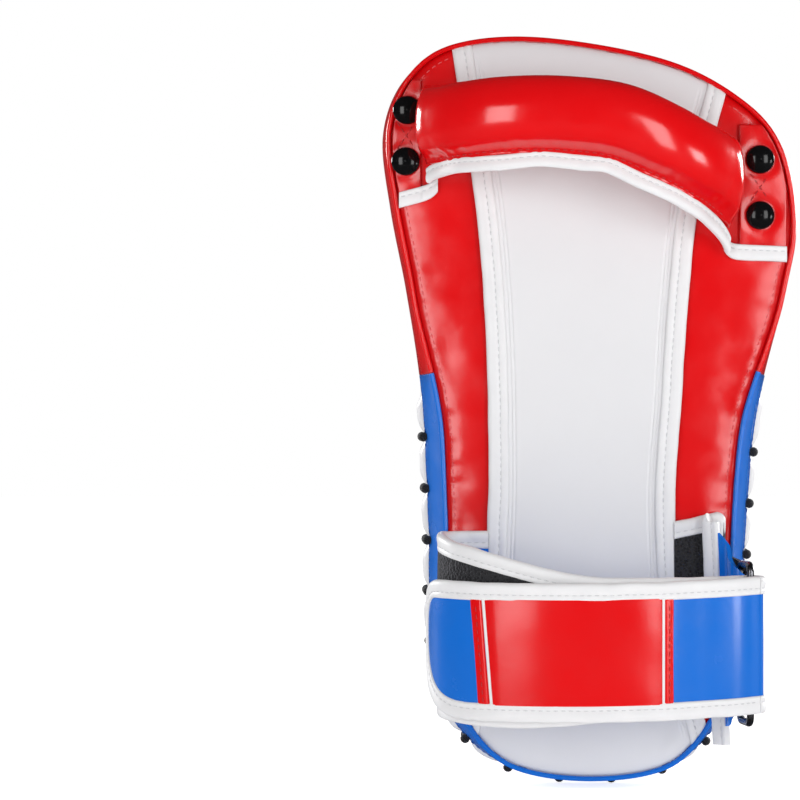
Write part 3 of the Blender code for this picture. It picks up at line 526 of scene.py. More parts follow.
def edge_dirt_and_shade(rows, reach=5 * MM, sides=(True, True, True, True)):
    """1 at the border of a grid of points, fading inwards: the mask for the leather's darkening at
    its edges, partly dirt and partly painted shade.

    sides says which edges count: first row, last row, first column, last column."""
    rows = np.asarray(rows)
    down = np.concatenate([np.zeros((1, rows.shape[1])), np.cumsum(
        np.linalg.norm(np.diff(rows, axis=0), axis=2), axis=0)])
    over = np.concatenate([np.zeros((rows.shape[0], 1)), np.cumsum(
        np.linalg.norm(np.diff(rows, axis=1), axis=2), axis=1)], axis=1)
    distances = [down, down[-1] - down, over, over[:, -1:] - over]
    fade = np.zeros(rows.shape[:2])
    for wanted, distance in zip(sides, distances):
        if wanted:
            fade = np.maximum(fade, np.exp(-distance / reach))
    return fade.reshape(-1)


# ---- materials ----------------------------------------------------------------------
class Nodes:
    """Short ways to add and link shader nodes."""

    def __init__(self, name):
        self.material = bpy.data.materials.new(name)
        self.material.use_nodes = True
        self.tree = self.material.node_tree
        self.shader = self.tree.nodes["Principled BSDF"]
        self.place = self.add("ShaderNodeTexCoord").outputs["Object"]

    def add(self, kind, **values):
        node = self.tree.nodes.new(kind)
        for key, value in values.items():
            setattr(node, key, value)
        return node

    def link(self, output, target):
        self.tree.links.new(output, target)

    def noise(self, scale, detail):
        node = self.add("ShaderNodeTexNoise")
        self.link(self.place, node.inputs["Vector"])
        node.inputs["Scale"].default_value = scale
        node.inputs["Detail"].default_value = detail
        node.inputs["Roughness"].default_value = 0.5
        return node.outputs["Fac"]

    def cells(self, scale, feature="DISTANCE_TO_EDGE"):
        node = self.add("ShaderNodeTexVoronoi", feature=feature)
        self.link(self.place, node.inputs["Vector"])
        node.inputs["Scale"].default_value = scale
        return node.outputs["Distance"]

    def scaled(self, value, from_low, from_high, to_low, to_high):
        node = self.add("ShaderNodeMapRange")
        self.link(value, node.inputs["Value"])
        for key, number in zip(("From Min", "From Max", "To Min", "To Max"),
                               (from_low, from_high, to_low, to_high)):
            node.inputs[key].default_value = number
        return node.outputs["Result"]

    def math(self, operation, a, b):
        node = self.add("ShaderNodeMath", operation=operation)
        for socket, value in zip(node.inputs, (a, b)):
            if isinstance(value, (int, float)):
                socket.default_value = value
            else:
                self.link(value, socket)
        return node.outputs[0]

    def mixed(self, factor, a, b):
        node = self.add("ShaderNodeMix", data_type="RGBA")
        self.link(factor, node.inputs["Factor"])
        for socket, value in ((node.inputs[6], a), (node.inputs[7], b)):
            if isinstance(value, tuple):
                socket.default_value = (*value, 1)
            else:
                self.link(value, socket)
        return node.outputs[2]

    def bump(self, height, strength, distance, before=None):
        node = self.add("ShaderNodeBump")
        self.link(height, node.inputs["Height"])
        node.inputs["Strength"].default_value = strength
        node.inputs["Distance"].default_value = distance
        if before is not None:
            self.link(before, node.inputs["Normal"])
        return node.outputs["Normal"]

    def attribute(self, name):
        return self.add("ShaderNodeAttribute", attribute_name=name).outputs["Fac"]

    def set(self, **values):
        for key, value in values.items():
            self.shader.inputs[key.replace("_", " ")].default_value = value

    def feed(self, **outputs):
        for key, output in outputs.items():
            self.link(output, self.shader.inputs[key.replace("_", " ")])

    def bands(self, scale):
        """Fine slanting bands, as in twisted or woven thread."""
        node = self.add("ShaderNodeTexWave", wave_type="BANDS", bands_direction="DIAGONAL")
        self.link(self.place, node.inputs["Vector"])
        node.inputs["Scale"].default_value = scale
        return node.outputs["Fac"]


def leather_nodes(name, colour, deep, roughness=0.17, grain=1.0, coat=0.3, soft=0.06):
    """Coated leather: fine pebble grain, faint mottling, and darkening along its seams from the
    seam attribute, partly dirt and partly painted shade.
    """
    n = Nodes(name)
    mottle = n.scaled(n.noise(22, 3), 0.3, 0.7, 0.0, soft)
    # the seam attribute mixes in the deep colour: dirt and painted shade at the seams, painted
    # shade under the lace and on the grip's lower side
    seam = n.math("MULTIPLY", n.attribute("seam"), 0.55)
    n.feed(Base_Color=n.mixed(n.math("ADD", mottle, seam), colour, deep))
    n.feed(Roughness=n.scaled(n.noise(60, 4), 0.25, 0.75, roughness - 0.04, roughness + 0.05))
    pebbles = n.bump(n.cells(1150), 0.22 * grain, 0.00008)
    creases = n.bump(n.noise(230, 2.5), 0.3 * grain, 0.00014, pebbles)
    n.feed(Normal=n.bump(n.noise(45, 2), 0.2, 0.0005, creases))
    n.set(Coat_Weight=coat, Coat_Roughness=0.14, IOR=1.45)
    return n


def leather(*values, **named):
    return leather_nodes(*values, **named).material


def binding_tape(name):
    """White coated tape: smooth, faintly dirty in the folds."""
    n = Nodes(name)
    mottle = n.scaled(n.noise(90, 4), 0.3, 0.8, 0.0, 0.35)
    n.feed(Base_Color=n.mixed(mottle, (0.80, 0.80, 0.81), (0.68, 0.685, 0.70)))
    n.feed(Normal=n.bump(n.noise(420, 4), 0.3, 0.00015, n.bump(n.noise(120, 2), 0.35, 0.0005)))
    n.set(Roughness=0.45, Coat_Weight=0.1, Coat_Roughness=0.35)
    return n.material


def pile(name, hooks=False):
    """Black loop pile or hook tape."""
    n = Nodes(name)
    tufts = n.cells(900 if hooks else 620, "F1")
    dark = n.scaled(tufts, 0, 0.6, 0, 1)
    n.feed(Base_Color=n.mixed(dark, (0.004, 0.004, 0.005), (0.03, 0.03, 0.033)))
    n.feed(Normal=n.bump(n.noise(1500, 3), 0.8, 0.0006, n.bump(tufts, 1.0, 0.0012)))
    n.set(Roughness=0.95, Sheen_Weight=0.35, Sheen_Roughness=0.5, Specular_IOR_Level=0.2)
    n.set(Sheen_Tint=(0.5, 0.5, 0.55, 1))
    return n.material


def cord_cloth(name):
    n = Nodes(name)
    weave = n.bands(480)
    n.feed(Base_Color=n.mixed(weave, (0.003, 0.003, 0.004), (0.022, 0.022, 0.024)))
    n.feed(Normal=n.bump(weave, 0.7, 0.0003))
    n.set(Roughness=0.75, Sheen_Weight=0.15)
    return n.material


def thread(name, colour):
    n = Nodes(name)
    n.feed(Base_Color=n.mixed(n.bands(900), tuple(c * 0.78 for c in colour), colour))
    n.set(Roughness=0.6)
    return n.material


def black_cap(name):
    n = Nodes(name)
    n.feed(Base_Color=n.mixed(n.noise(900, 2), (0.002, 0.002, 0.002), (0.006, 0.006, 0.007)))
    n.feed(Roughness=n.scaled(n.noise(300, 3), 0.3, 0.7, 0.08, 0.16))
    n.set(Specular_IOR_Level=0.3)
    return n.material


def dark_steel(name):
    n = Nodes(name)
    n.feed(Base_Color=n.mixed(n.noise(400, 4), (0.10, 0.10, 0.11), (0.20, 0.20, 0.22)))
    n.feed(Roughness=n.scaled(n.noise(700, 4), 0.3, 0.7, 0.18, 0.34))
    n.set(Metallic=1.0)
    return n.material


def foam(name):
    n = Nodes(name)
    n.feed(Base_Color=n.mixed(n.noise(300, 3), (0.42, 0.42, 0.40), (0.6, 0.6, 0.57)))
    n.feed(Normal=n.bump(n.cells(700), 0.6, 0.0004))
    n.set(Roughness=0.9)
    return n.material


def striking_leather(name, colour, deep):
    """The red leather with a plain printed mark: two rings, no lettering."""
    n = leather_nodes(name, colour, deep)
    split = n.add("ShaderNodeSeparateXYZ")
    n.link(n.place, split.inputs[0])
    dx = n.math("SUBTRACT", split.outputs["X"], EMBLEM_CENTRE[0])
    dz = n.math("SUBTRACT", split.outputs["Z"], EMBLEM_CENTRE[1])
    squared = n.math("ADD", n.math("MULTIPLY", dx, dx), n.math("MULTIPLY", dz, dz))
    radius = n.math("SQRT", squared, 0)

    def between(low, high):
        within = n.math("LESS_THAN", radius, high)
        return n.math("MULTIPLY", n.math("GREATER_THAN", radius, low), within)

    outer, inner = (between(low * EMBLEM_RADIUS, high * EMBLEM_RADIUS)
                    for low, high in EMBLEM_RINGS)
    mark = n.math("ADD", outer, inner)
    printed = n.math("MULTIPLY", mark, n.scaled(n.noise(1300, 3), 0.25, 0.45, 0.55, 1.0))
    base = n.shader.inputs["Base Color"].links[0].from_socket
    n.feed(Base_Color=n.mixed(printed, base, (0.84, 0.83, 0.82)))
    return n.material


FINISH = {}


def make_finishes():
    # each deep colour is what the mottling and the painted edge shade darken towards
    red, deep_red = (0.75, 0.001, 0.003), (0.34, 0.0005, 0.002)
    blue, deep_blue = (0.001, 0.152, 0.66), (0.0005, 0.05, 0.24)
    FINISH.update(
        red=leather("red_leather", red, deep_red),
        front=striking_leather("red_striking_leather", red, deep_red),
        grip=leather("red_grip_leather", red, deep_red, roughness=0.15, grain=0.6, coat=0.45),
        blue=leather("blue_leather", blue, deep_blue, roughness=0.24),
        white=leather("white_leather", (0.76, 0.76, 0.775), (0.55, 0.56, 0.6), 0.4, 0.7, 0.12),
        bright_thread=thread("bright_red_thread", (0.9, 0.10, 0.11)),
        tape=binding_tape("white_binding"),
        pile=pile("loop_pile"),
        hooks=pile("hook_tape", hooks=True),
        lace=cord_cloth("lace_cord"),
        cap=black_cap("black_cap"),
        steel=dark_steel("dark_steel"),
        foam=foam("foam"),
        white_thread=thread("white_thread", (0.72, 0.72, 0.74)),
        red_thread=thread("red_thread", (0.62, 0.012, 0.016)),
        blue_thread=thread("blue_thread", (0.02, 0.1, 0.4)),
    )


def finish_piece(obj, body, slot, *nodes):
    """Hides the CAD nodes a piece stands for and puts the piece on the body it rides on. The slot
    is not used.
    """
    if nodes:
        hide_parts(*nodes)
    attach(obj, body)


# ---- the pad ------------------------------------------------------------------------
def stretch(split_z, lower):
    """Ring places below a height, or above it, in order along the ring."""
    below = RING[:, 1] < split_z
    wanted = below if lower else ~below
    start = int(np.where(wanted & ~np.roll(wanted, 1))[0][0])
    return (np.arange(wanted.sum()) + start) % len(RING)


def thinned(index, count):
    return index[np.linspace(0, len(index) - 1, count).round().astype(int)]


def sideways(point):
    middle = spine_point(point[2])
    return (point[0] - middle[0], 0, point[2] - middle[1])


def backward(_point):
    return (0, -1, 0)


def forward(_point):
    return (0, 1, 0)


def wall_rows(index, shares, tuck_back=True, tuck_front=True):
    """Side wall points with the leather drawn in at the seams and lightly gathered."""
    rows = []
    length = along(RING[index])
    for share in shares:
        to_back, to_front = share * WALL, (1 - share) * WALL
        tuck = 0.0
        if tuck_back:
            tuck += SEAM_TUCK * math.exp(-to_back / SEAM_TUCK)
        if tuck_front:
            tuck += SEAM_TUCK * math.exp(-to_front / SEAM_TUCK)
        rows.append(wall_points(index, share, tuck))
    rows = np.array(rows)
    out = wall_out(index)
    for r, share in enumerate(shares):
        near = math.exp(-min(share, 1 - share) * WALL / (7 * MM))
        gather = wave(length, 8 * MM, share * 3, 7)
        broad = ripple(rows[r], 35 * MM, 0.35 * MM, 4)
        rows[r] += out * (gather * near * 0.45 * MM + broad)[:, None]
    return rows


def make_walls():
    upper = thinned(stretch(WALL_SPLIT - 0.6 * MM, False), 420)
    shares = 0.5 - 0.5 * np.cos(np.linspace(0.06, math.pi - 0.06, 34))
    shares = 0.012 + shares * 0.976
    rows = wall_rows(upper, shares)
    # the edge mask darkens the wall near its seams: dirt and painted shade
    wall = skin("upper_wall_leather", rows, FINISH["red"], PANEL_THICK, sideways, edge_dirt_and_shade(rows))
    finish_piece(wall, "pad", "red_leather", "upper_side_wall")

    lower = thinned(stretch(WALL_SPLIT - 0.3 * MM, True), 460)
    out = wall_out(lower)
    # 1 where the lace draws the gusset's edge in, 0 between
    pull = np.exp(-(to_nearest_bar(lower) / (5 * MM)) ** 2)
    for node, low, high in (("rear_gusset", 0.012, GUSSET_EDGES[0]),
                            ("front_gusset", GUSSET_EDGES[1], 0.988)):
        rear = node == "rear_gusset"
        shares = np.linspace(low, high, 20)
        rows = wall_rows(lower, shares, tuck_back=rear, tuck_front=not rear)
        # the free edge is hemmed: a soft ridge, then it rolls under
        for r, share in enumerate(shares):
            from_edge = abs(share - (high if rear else low)) * WALL
            ridge = 0.5 * MM * math.exp(-((from_edge - 2.2 * MM) / (1.6 * MM)) ** 2)
            scallop = np.exp(-from_edge / (5 * MM)) * 0.9 * MM * pull
            rows[r] += out * (ridge - scallop)[:, None]
        # the edge mask darkens the gusset near its seams and hem: dirt and painted shade
        piece = skin(f"{node}_leather", rows, FINISH["blue"], COVER_THICK, sideways,
                     edge_dirt_and_shade(rows))
        finish_piece(piece, "pad", "blue_leather", node)
        share = high - 3.4 * MM / WALL if rear else low + 3.4 * MM / WALL
        path = wall_rows(lower, [share], False, False)[0] + out * 0.25 * MM
        line = stitches(f"{node}_stitches", path[4:-4], out[4:-4], FINISH["blue_thread"])
        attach(line, "pad")


def lace_places():
    """Ring places at which the lace crosses the tongue, for each of its two runs."""
    laced = stretch(LACE_TOP, True)
    right, height = RING[laced, 0] > 0, RING[laced, 1]
    runs = []
    for index, first in ((laced[~(right & (height > KNOT_Z - KNOT_ROOM))], LACE_START[0]),
                         (laced[right & (height > KNOT_Z + KNOT_ROOM)], LACE_START[1])):
        length = along(RING[index])
        for s in np.arange(first, length[-1], LACE_PITCH):
            runs.append(int(index[np.searchsorted(length, s)]))
    return runs


LACE_AT = lace_places()


# distance of every ring place from the first one, going round, and once all the way
RING_S = along(np.vstack([RING, RING[:1]]))
RING_S, RING_TOTAL = RING_S[:-1], float(RING_S[-1])


def knot_place():
    """The ring place of the knot, on the right side."""
    laced = stretch(LACE_TOP, True)
    near = (RING[laced, 0] > 0) & (np.abs(RING[laced, 1] - KNOT_Z) < 1 * MM)
    return int(laced[near][0])


KNOT_AT = knot_place()


def to_nearest_bar(index):
    """How far each ring place is from the nearest crossing of the lace."""
    best = np.full(len(index), 1e3)
    for place in (*LACE_AT, KNOT_AT):
        gap = np.abs(RING_S[index] - RING_S[place])
        best = np.minimum(best, np.minimum(gap, RING_TOTAL - gap))
    return best


def make_tongue():
    """White leather that swells out between the crossings of the lace."""
    index = thinned(stretch(LACE_TOP + 8 * MM, True), 620)
    gap = to_nearest_bar(index)
    swell = 1 - np.exp(-(gap / (5.5 * MM)) ** 2)
    length = along(RING[index])
    ends = np.minimum(length, length[-1] - length)
    swell = swell * smoothstep(ends, 0, 10 * MM)
    rows = []
    for share in np.linspace(0.34, 0.66, 26):
        across = (share - 0.5) / 0.105
        arch = max(0.0, 1 - across**2)
        base = 2.6 * MM if abs(across) > 1 else 2.6 * MM * (1 - arch**0.8)
        row = wall_points(index, share, base)
        row += wall_out(index) * (TONGUE_BULGE * swell * arch**0.6 - 0.4 * MM * arch)[:, None]
        crease = ripple(row, 6 * MM, 0.35 * MM, 2.2)
        rows.append(row + wall_out(index) * (crease * arch)[:, None])
    rows = np.array(rows)
    # the mask darkens the tongue right under the lace's crossings: painted shade
    tongue = skin("tongue_leather", rows, FINISH["white"], TONGUE_THICK, sideways,
                  np.tile(np.exp(-(gap / (3 * MM)) ** 2) * 0.5, len(rows)))
    finish_piece(tongue, "pad", "white_leather", "lacing_tongue")


def lace_bar(place, number):
    """One crossing: up through a hole, over the tongue, and down through the other hole."""
    index = np.array([place])
    points = []
    for share, inset in ((0.335, 3.0), (0.338, 1.0), (0.345, -0.9), (0.36, -1.9), (0.385, -1.7),
                         (0.43, -0.7), (0.5, -0.3), (0.57, -0.7), (0.615, -1.7), (0.64, -1.9),
                         (0.655, -0.9), (0.662, 1.0), (0.665, 3.0)):
        points.append(wall_points(index, share, inset * MM)[0])
    path = smooth_curve(points, 5)
    end = np.minimum(along(path), along(path)[-1] - along(path))
    radii = LACE_RADIUS * (1 + 0.75 * np.exp(-((end - 5 * MM) / (2.2 * MM)) ** 2))
    return tube(f"bar_{number}", path, LACE_RADIUS, FINISH["lace"], hint=wall_out(index)[0],
                around=12, flat=0.85, radii=radii)


def make_lace():
    bars = [lace_bar(place, k) for k, place in enumerate(LACE_AT)]
    lace = joined("lace_crossings", bars)
    finish_piece(lace, "pad", "black_lace", "lace", "lace_upper_end")
    centre = wall_points(np.array([KNOT_AT]), 0.5, -1.6 * MM)[0]
    out = wall_out(np.array([KNOT_AT]))[0]
    up = np.cross(np.array([0, 1.0, 0]), out)
    # an overhand knot: a trefoil lying on the tongue
    t = np.linspace(0, 2 * math.pi, 121)
    flat = np.column_stack([np.sin(t) + 2 * np.sin(2 * t), np.cos(t) - 2 * np.cos(2 * t),
                            -np.sin(3 * t)])
    path = [centre + up * a * 1.15 * MM + np.array([0, 1, 0]) * b * 1.15 * MM + out * c * 1.2 * MM
            for a, b, c in flat]
    knot = tube("knot_body", path, 1.25 * MM, FINISH["lace"], hint=out, around=10)
    bar = lace_bar(KNOT_AT, 99)
    ends = []
    for sign, spread in ((1, 0.5), (-1, 1.0)):
        tail = [
            centre - up * drop * MM * spread + np.array([0, sign * aside * MM, 0]) + out * lift * MM
            for drop, aside, lift in ((0, 0, 1.2), (4, 2.5, 1.6), (9, 3.5, 0.6), (12, 4.5, 0.2))
        ]
        ends.append(tube(f"knot_end_{sign}", smooth_curve(tail, 8), 1.15 * MM, FINISH["lace"],
                         hint=out))
    knot = joined("lace_knot_tied", [knot, bar, *ends])
    finish_piece(knot, "pad", "black_lace", "lace_knot")


def towards_spine(points, share):
    spine = spine_point(points[:, 1])
    return spine + (points - spine) * share


def make_front():
    index = thinned(ALL_ROUND, 481)[:-1]
    seam = wall_points(index, 1.0)[:, [0, 2]]
    length = RING_S[index]
    radius = np.linalg.norm(seam - spine_point(seam[:, 1]), axis=1)
    shares = 1 - np.linspace(0, 1, 40) ** 1.5 * (1 - PLATEAU)
    shares[0] = 0.999
    rows, fade = [], []
    for share in shares:
        flat = towards_spine(seam, share)
        depth = (1 - share) * radius
        y = SEAM_FRONT + rise(share, CROWN_FRONT, 3.5)
        y = y - 1.5 * MM * np.exp(-depth / (1.5 * MM))
        gather = wave(length, 9 * MM, 1.5, share * 8)
        y = y + gather * 0.5 * MM * np.exp(-depth / (8 * MM)) * (1 - np.exp(-depth / (1.2 * MM)))
        row = np.column_stack([flat[:, 0], y, flat[:, 1]])
        row[:, 1] += ripple(row, 40 * MM, 0.35 * MM, 1.0) * smoothstep((1 - share) / 0.2)
        rows.append(row)
        # darker towards the seam, where the leather is drawn in: dirt and painted shade
        fade.append(np.exp(-depth / (4 * MM)))
    rows = np.array(rows)
    panel = skin("striking_panel", rows, FINISH["front"], COVER_THICK, forward,
                 np.array(fade).reshape(-1), closed=True)
    finish_piece(panel, "pad", "red_leather", "front_panel")


def make_welts():
    out = WELT + 0.2 * MM
    for where, share in (("rear", 0.0), ("front", 1.0)):
        for part, lower, finish, slot in (("upper", False, "red", "red_leather"),
                                          ("lower", True, "blue", "blue_leather")):
            split = WALL_SPLIT - 0.2 * MM if lower else WALL_SPLIT + 0.2 * MM
            index = thinned(stretch(split, lower), 420)
            path = wall_points(index, share, 0.6 * MM - out)
            swell = 1 + 0.02 * wave(along(path), 5 * MM, 2, 9)
            welt = tube(f"{where}_piping_{part}", path, WELT, FINISH[finish], hint=(0, 1, 0),
                        around=10, radii=WELT * swell)
            finish_piece(welt, "pad", slot, f"{where}_welt_{part}")


def side_surface(x, z):
    """The red back panel's face with its creases."""
    share = share_out(x, z)
    y = side_y(x, z)
    to_seam = (1 - share) * 85 * MM
    y = y + 1.5 * MM * np.exp(-to_seam / (1.5 * MM))
    points = np.column_stack([x, np.zeros_like(x), z])
    broad = ripple(points, 45 * MM, 0.7 * MM, 5.0)
    fine = ripple(points, 14 * MM, 0.22 * MM, 9.0)
    near = np.exp(-to_seam / (9 * MM)) * (1 - np.exp(-to_seam / (1.2 * MM)))
    gather = ripple(points * np.array([0.2, 1, 1]), 7 * MM, 0.55 * MM, 6.0) * near
    fade = smoothstep(1 - share, 0, 0.12)
    return y + (broad + fine) * fade + gather


def make_back_panels():
    for side, name in ((-1, "left"), (1, "right")):
        heights = [z for z in np.linspace(-70, 326, 1600) * MM
                   if (seam_x(side, z) - trim_x(side, z) + side * PANEL_UNDERLAP) * side > 2.2 * MM]
        rows = []
        for z in np.linspace(heights[0], heights[-1], 260):
            inner = trim_x(side, z) - side * PANEL_UNDERLAP
            outer = seam_x(side, z)
            t = np.sin(np.linspace(0, math.pi / 2, 34))
            xs = inner + (outer - side * 0.1 * MM - inner) * t
            rows.append(np.column_stack([xs, side_surface(xs, np.full(34, z)), np.full(34, z)]))
        rows = np.array(rows)
        # the edge mask darkens the panel near the seam but not under the trim: dirt and painted
        # shade
        panel = skin(f"back_leather_{name}", rows, FINISH["red"], PANEL_THICK, backward,
                     edge_dirt_and_shade(rows, sides=(True, True, False, True)))
        finish_piece(panel, "pad", "red_leather", f"back_panel_{name}")


def seam_stitches():
    """The thread line just inside the back seam of the red panels."""
    inset = 4.2 * MM
    flat = BACK_SEAM - RING_NORMAL * inset
    pieces = []
    for side in (-1, 1):
        edge = trim_x(side, flat[:, 1])
        keep = (flat[:, 0] - edge) * side > 1.5 * MM
        start = int(np.where(keep & ~np.roll(keep, 1))[0][0])
        order = (np.arange(len(RING)) + start) % len(RING)
        run = order[: int(np.argmin(keep[order]))][::6]
        x, z = flat[run, 0], flat[run, 1]
        path = np.column_stack([x, side_surface(x, z), z])
        normals = np.tile([0.0, -1, 0], (len(run), 1)) + 0.3 * wall_out(run)
        pieces.append(stitches(f"run_{side}", path, normals, FINISH["bright_thread"]))
    line = joined("back_seam_stitches", pieces)
    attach(line, "pad")


def groove(distance):
    return 0.55 * MM * np.exp(-(distance / (0.45 * MM)) ** 2)


def arm_surface(x, z):
    """White arm panel's face, with the two pressed lines beside each trim."""
    y = arm_y(x, z)
    share = share_out(x, z)
    fade = smoothstep(1 - share, 0.0, 0.15)
    for side in (-1, 1):
        inner = trim_x(side, z) - side * TRIM_WIDTH
        inwards = (inner - x) * side
        y = y + (groove(inwards - 1.7 * MM) + groove(inwards - 3.6 * MM)) * fade
    points = np.column_stack([x, np.zeros_like(x), z])
    broad, fine = ripple(points, 60 * MM, 0.5 * MM, 3.0), ripple(points, 18 * MM, 0.12 * MM, 8.0)
    y = y + (broad + fine) * fade
    return y + 1.6 * MM * np.exp(-(1 - share) * 80 * MM / (1.5 * MM))


def make_arm_panel():
    rows = []
    across = np.concatenate([np.linspace(0, 0.16, 34)[:-1], np.linspace(0.16, 0.84, 44)[:-1],
                             np.linspace(0.84, 1, 34)])
    for share in across:
        def at(z, share=share):
            left, right = trim_x(-1, z) + ARM_UNDERLAP, trim_x(1, z) - ARM_UNDERLAP
            return left + (right - left) * share
        low, high = -65 * MM, 315 * MM
        for _ in range(6):
            low, high = seam_z(at(low), low=True) + 0.1 * MM, seam_z(at(high)) - 0.1 * MM
        t = np.linspace(0, 1, 200)
        t = t - 0.02 * np.sin(2 * math.pi * t)
        z = low + (high - low) * t
        x = at(z)
        rows.append(np.column_stack([x, arm_surface(x, z), z]))
    rows = np.array(rows)
    # the edge mask darkens the panel's top and bottom ends at the seam: dirt and painted shade
    panel = skin("arm_leather", rows, FINISH["white"], PANEL_THICK, backward,
                 edge_dirt_and_shade(rows, 2.5 * MM, (False, False, True, True)) * 0.6)
    finish_piece(panel, "pad", "white_leather", "arm_panel")


def make_trims():
    """White strips over the joins of the arm panel, with a stitch line down each."""
    across = np.array([0, 0.25, 0.8, 2.2, 4.2, 5.9, 6.6, 7.3, 8.8, 10.2, 10.8, 11.0]) * MM
    height = np.array([0.1, 0.9, 1.45, 1.85, 1.9, 1.65, 1.2, 1.6, 1.75, 1.45, 0.9, 0.1]) * MM
    for side, name in ((-1, "left"), (1, "right")):
        limits = []
        for offset in across:
            low, high = -60 * MM, 315 * MM
            for _ in range(8):
                low = float(seam_z(trim_x(side, low) - side * offset, low=True)) + 0.3 * MM
                high = float(seam_z(trim_x(side, high) - side * offset)) - 0.3 * MM
            limits.append((low, high))
        limits = np.array(limits)
        rows, line = [], []
        for t in np.linspace(0, 1, 240):
            z = limits[:, 0] + (limits[:, 1] - limits[:, 0]) * t
            sway = crumple(z[0], side, 16 * MM, 1, 0) * 0.35 * MM
            xs = trim_x(side, z) + sway - side * across
            near = np.exp(-(1 - share_out(xs, z)) * 80 * MM / (1.2 * MM))
            y = arm_y(xs, z) - height + 1.6 * MM * near
            rows.append(np.column_stack([xs, y, z]))
            line.append((xs[6], y[6] - 0.15 * MM, z[6]))
        trim = skin(f"trim_tape_{name}", rows, FINISH["tape"], TRIM_THICK, backward)
        finish_piece(trim, "pad", "white_binding", f"trim_{name}")
        thread_line = stitches(f"trim_stitches_{name}", line, np.tile([0.0, -1, 0], (len(line), 1)),
                               FINISH["white_thread"])
        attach(thread_line, "pad")


# ---- binding tape -------------------------------------------------------------------
# Half the tape's section: distance in from the edge, and share of half its thickness.
TAPE_SECTION = (
    (0.0, 0.0), (0.15, 0.42), (0.6, 0.74), (1.5, 0.96), (2.8, 1.04), (4.4, 0.98), (5.7, 0.84),
    (6.3, 0.74), (6.9, 0.84), (8.0, 0.92), (9.0, 0.84), (9.5, 0.60),
)
TAPE_LINE = 6.3 * MM


def bound_edge(name, place, path, inward, seed):
    """Tape folded over an edge, and its stitch lines on both faces.

    place(s, off, z) puts a pattern point in space. path holds edge points s, z and inward
    the direction into the piece at each."""
    path, inward = np.asarray(path, float), np.asarray(inward, float)
    length = along(path)
    calm = smoothstep(np.minimum(length, length[-1] - length), 0, 9 * MM)
    sway = wave(length, 13 * MM, seed, 1) * 0.4 * MM * calm
    puff = 1 + 0.08 * wave(length, 7 * MM, seed, 5) * calm
    upper = [(a * MM, h) for a, h in TAPE_SECTION]
    section = upper + [(a, -h) for a, h in reversed(upper[1:])]
    rings = []
    for (s, z), (ns, nz), w, p in zip(path, inward, sway, puff):
        ring = []
        for a, h in section:
            into = a - w * (a < 9 * MM)
            ring.append(place(s + ns * into, h * BINDING_HALF * p, z + nz * into))
        rings.append(ring)
    tape = lofted(name, rings, FINISH["tape"])
    lines = []
    for sign in (1, -1):
        points, normals = [], []
        for (s, z), (ns, nz), p in zip(path, inward, puff):
            here, core = (np.array(place(s + ns * TAPE_LINE, off, z + nz * TAPE_LINE))
                          for off in (sign * 0.76 * BINDING_HALF * p, 0.0))
            points.append(here)
            normals.append((here - core) / np.linalg.norm(here - core))
        lines.append(stitches(f"{name}_line_{sign}", points, normals, FINISH["white_thread"]))
    return tape, joined(f"{name}_stitches", lines)


def bind(name, place, path, inward, seed, body, node):
    """A bound edge that stands for one CAD binding."""
    tape, line = bound_edge(name, place, path, inward, seed)
    finish_piece(tape, body, "white_binding", node)
    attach(line, body)


def round_corner(centre, radius, degrees, path, inward):
    """Adds an arc to an edge path, with its inward directions. Angles count from +s to +z."""
    for a in degrees:
        turn = math.radians(a)
        across, up = math.cos(turn), math.sin(turn)
        path.append((centre[0] + radius * across, centre[1] + radius * up))
        inward.append((-across, -up))


# ---- strap --------------------------------------------------------------------------
class Track:
    """A plan curve x, y that a flat pattern is wrapped on."""

    def __init__(self, points):
        self.points = np.array(points, float)
        self.length = along(self.points)
        turn = np.gradient(self.points, axis=0)
        turn /= np.linalg.norm(turn, axis=1)[:, None]
        self.normal = np.column_stack([turn[:, 1], -turn[:, 0]])

    def place(self, s, off, z):
        x, y = at_distance(s, self.length, self.points)
        nx, ny = at_distance(s, self.length, self.normal)
        size = math.hypot(nx, ny)
        return (x + nx / size * off, y + ny / size * off, z)

    def where_x(self, x):
        steps = zip(self.length, self.points[:, 0], self.length[1:], self.points[1:, 0])
        for s, here, following, there in steps:
            if (here - x) * (there - x) <= 0:
                return s + (following - s) * (x - here) / (there - here)
        return self.length[-1]


def ring_point(share):
    """Where the strap meets its bend round the ring: -1 on the band's side, 1 on the tail's."""
    return np.array(RING_OUTER) + PULL_NORMAL * FOLD_RADIUS * share


def main_track():
    entry = ring_point(-1) - STRAP_PULL * GAP
    points = [np.array(p) * MM for p in STRAP_PATH] + [entry - STRAP_PULL * 5 * MM, entry]
    return Track(resampled(smooth_curve(points, 12), 160))


def tail_track(main):
    leave = ring_point(1) - STRAP_PULL * GAP
    points = []
    for s in np.arange(main.length[-1], 45 * MM, -2 * MM):
        left = (main.length[-1] - s) / (40 * MM)
        fade = max(0.0, 1 - left) ** 2 * (1 + 2 * min(left, 1))
        spacing = STRAP_SPACING + (2 * FOLD_RADIUS - STRAP_SPACING) * fade
        points.append(main.place(s, spacing, 0)[:2])
    points[0] = tuple(leave)
    return Track(resampled(np.array(points), 140))


def linear(at0, at1, length):
    """A function that goes evenly from at0 to at1 over a length, and stays there."""
    return lambda s: at0 + (at1 - at0) * min(max(s / length, 0), 1)


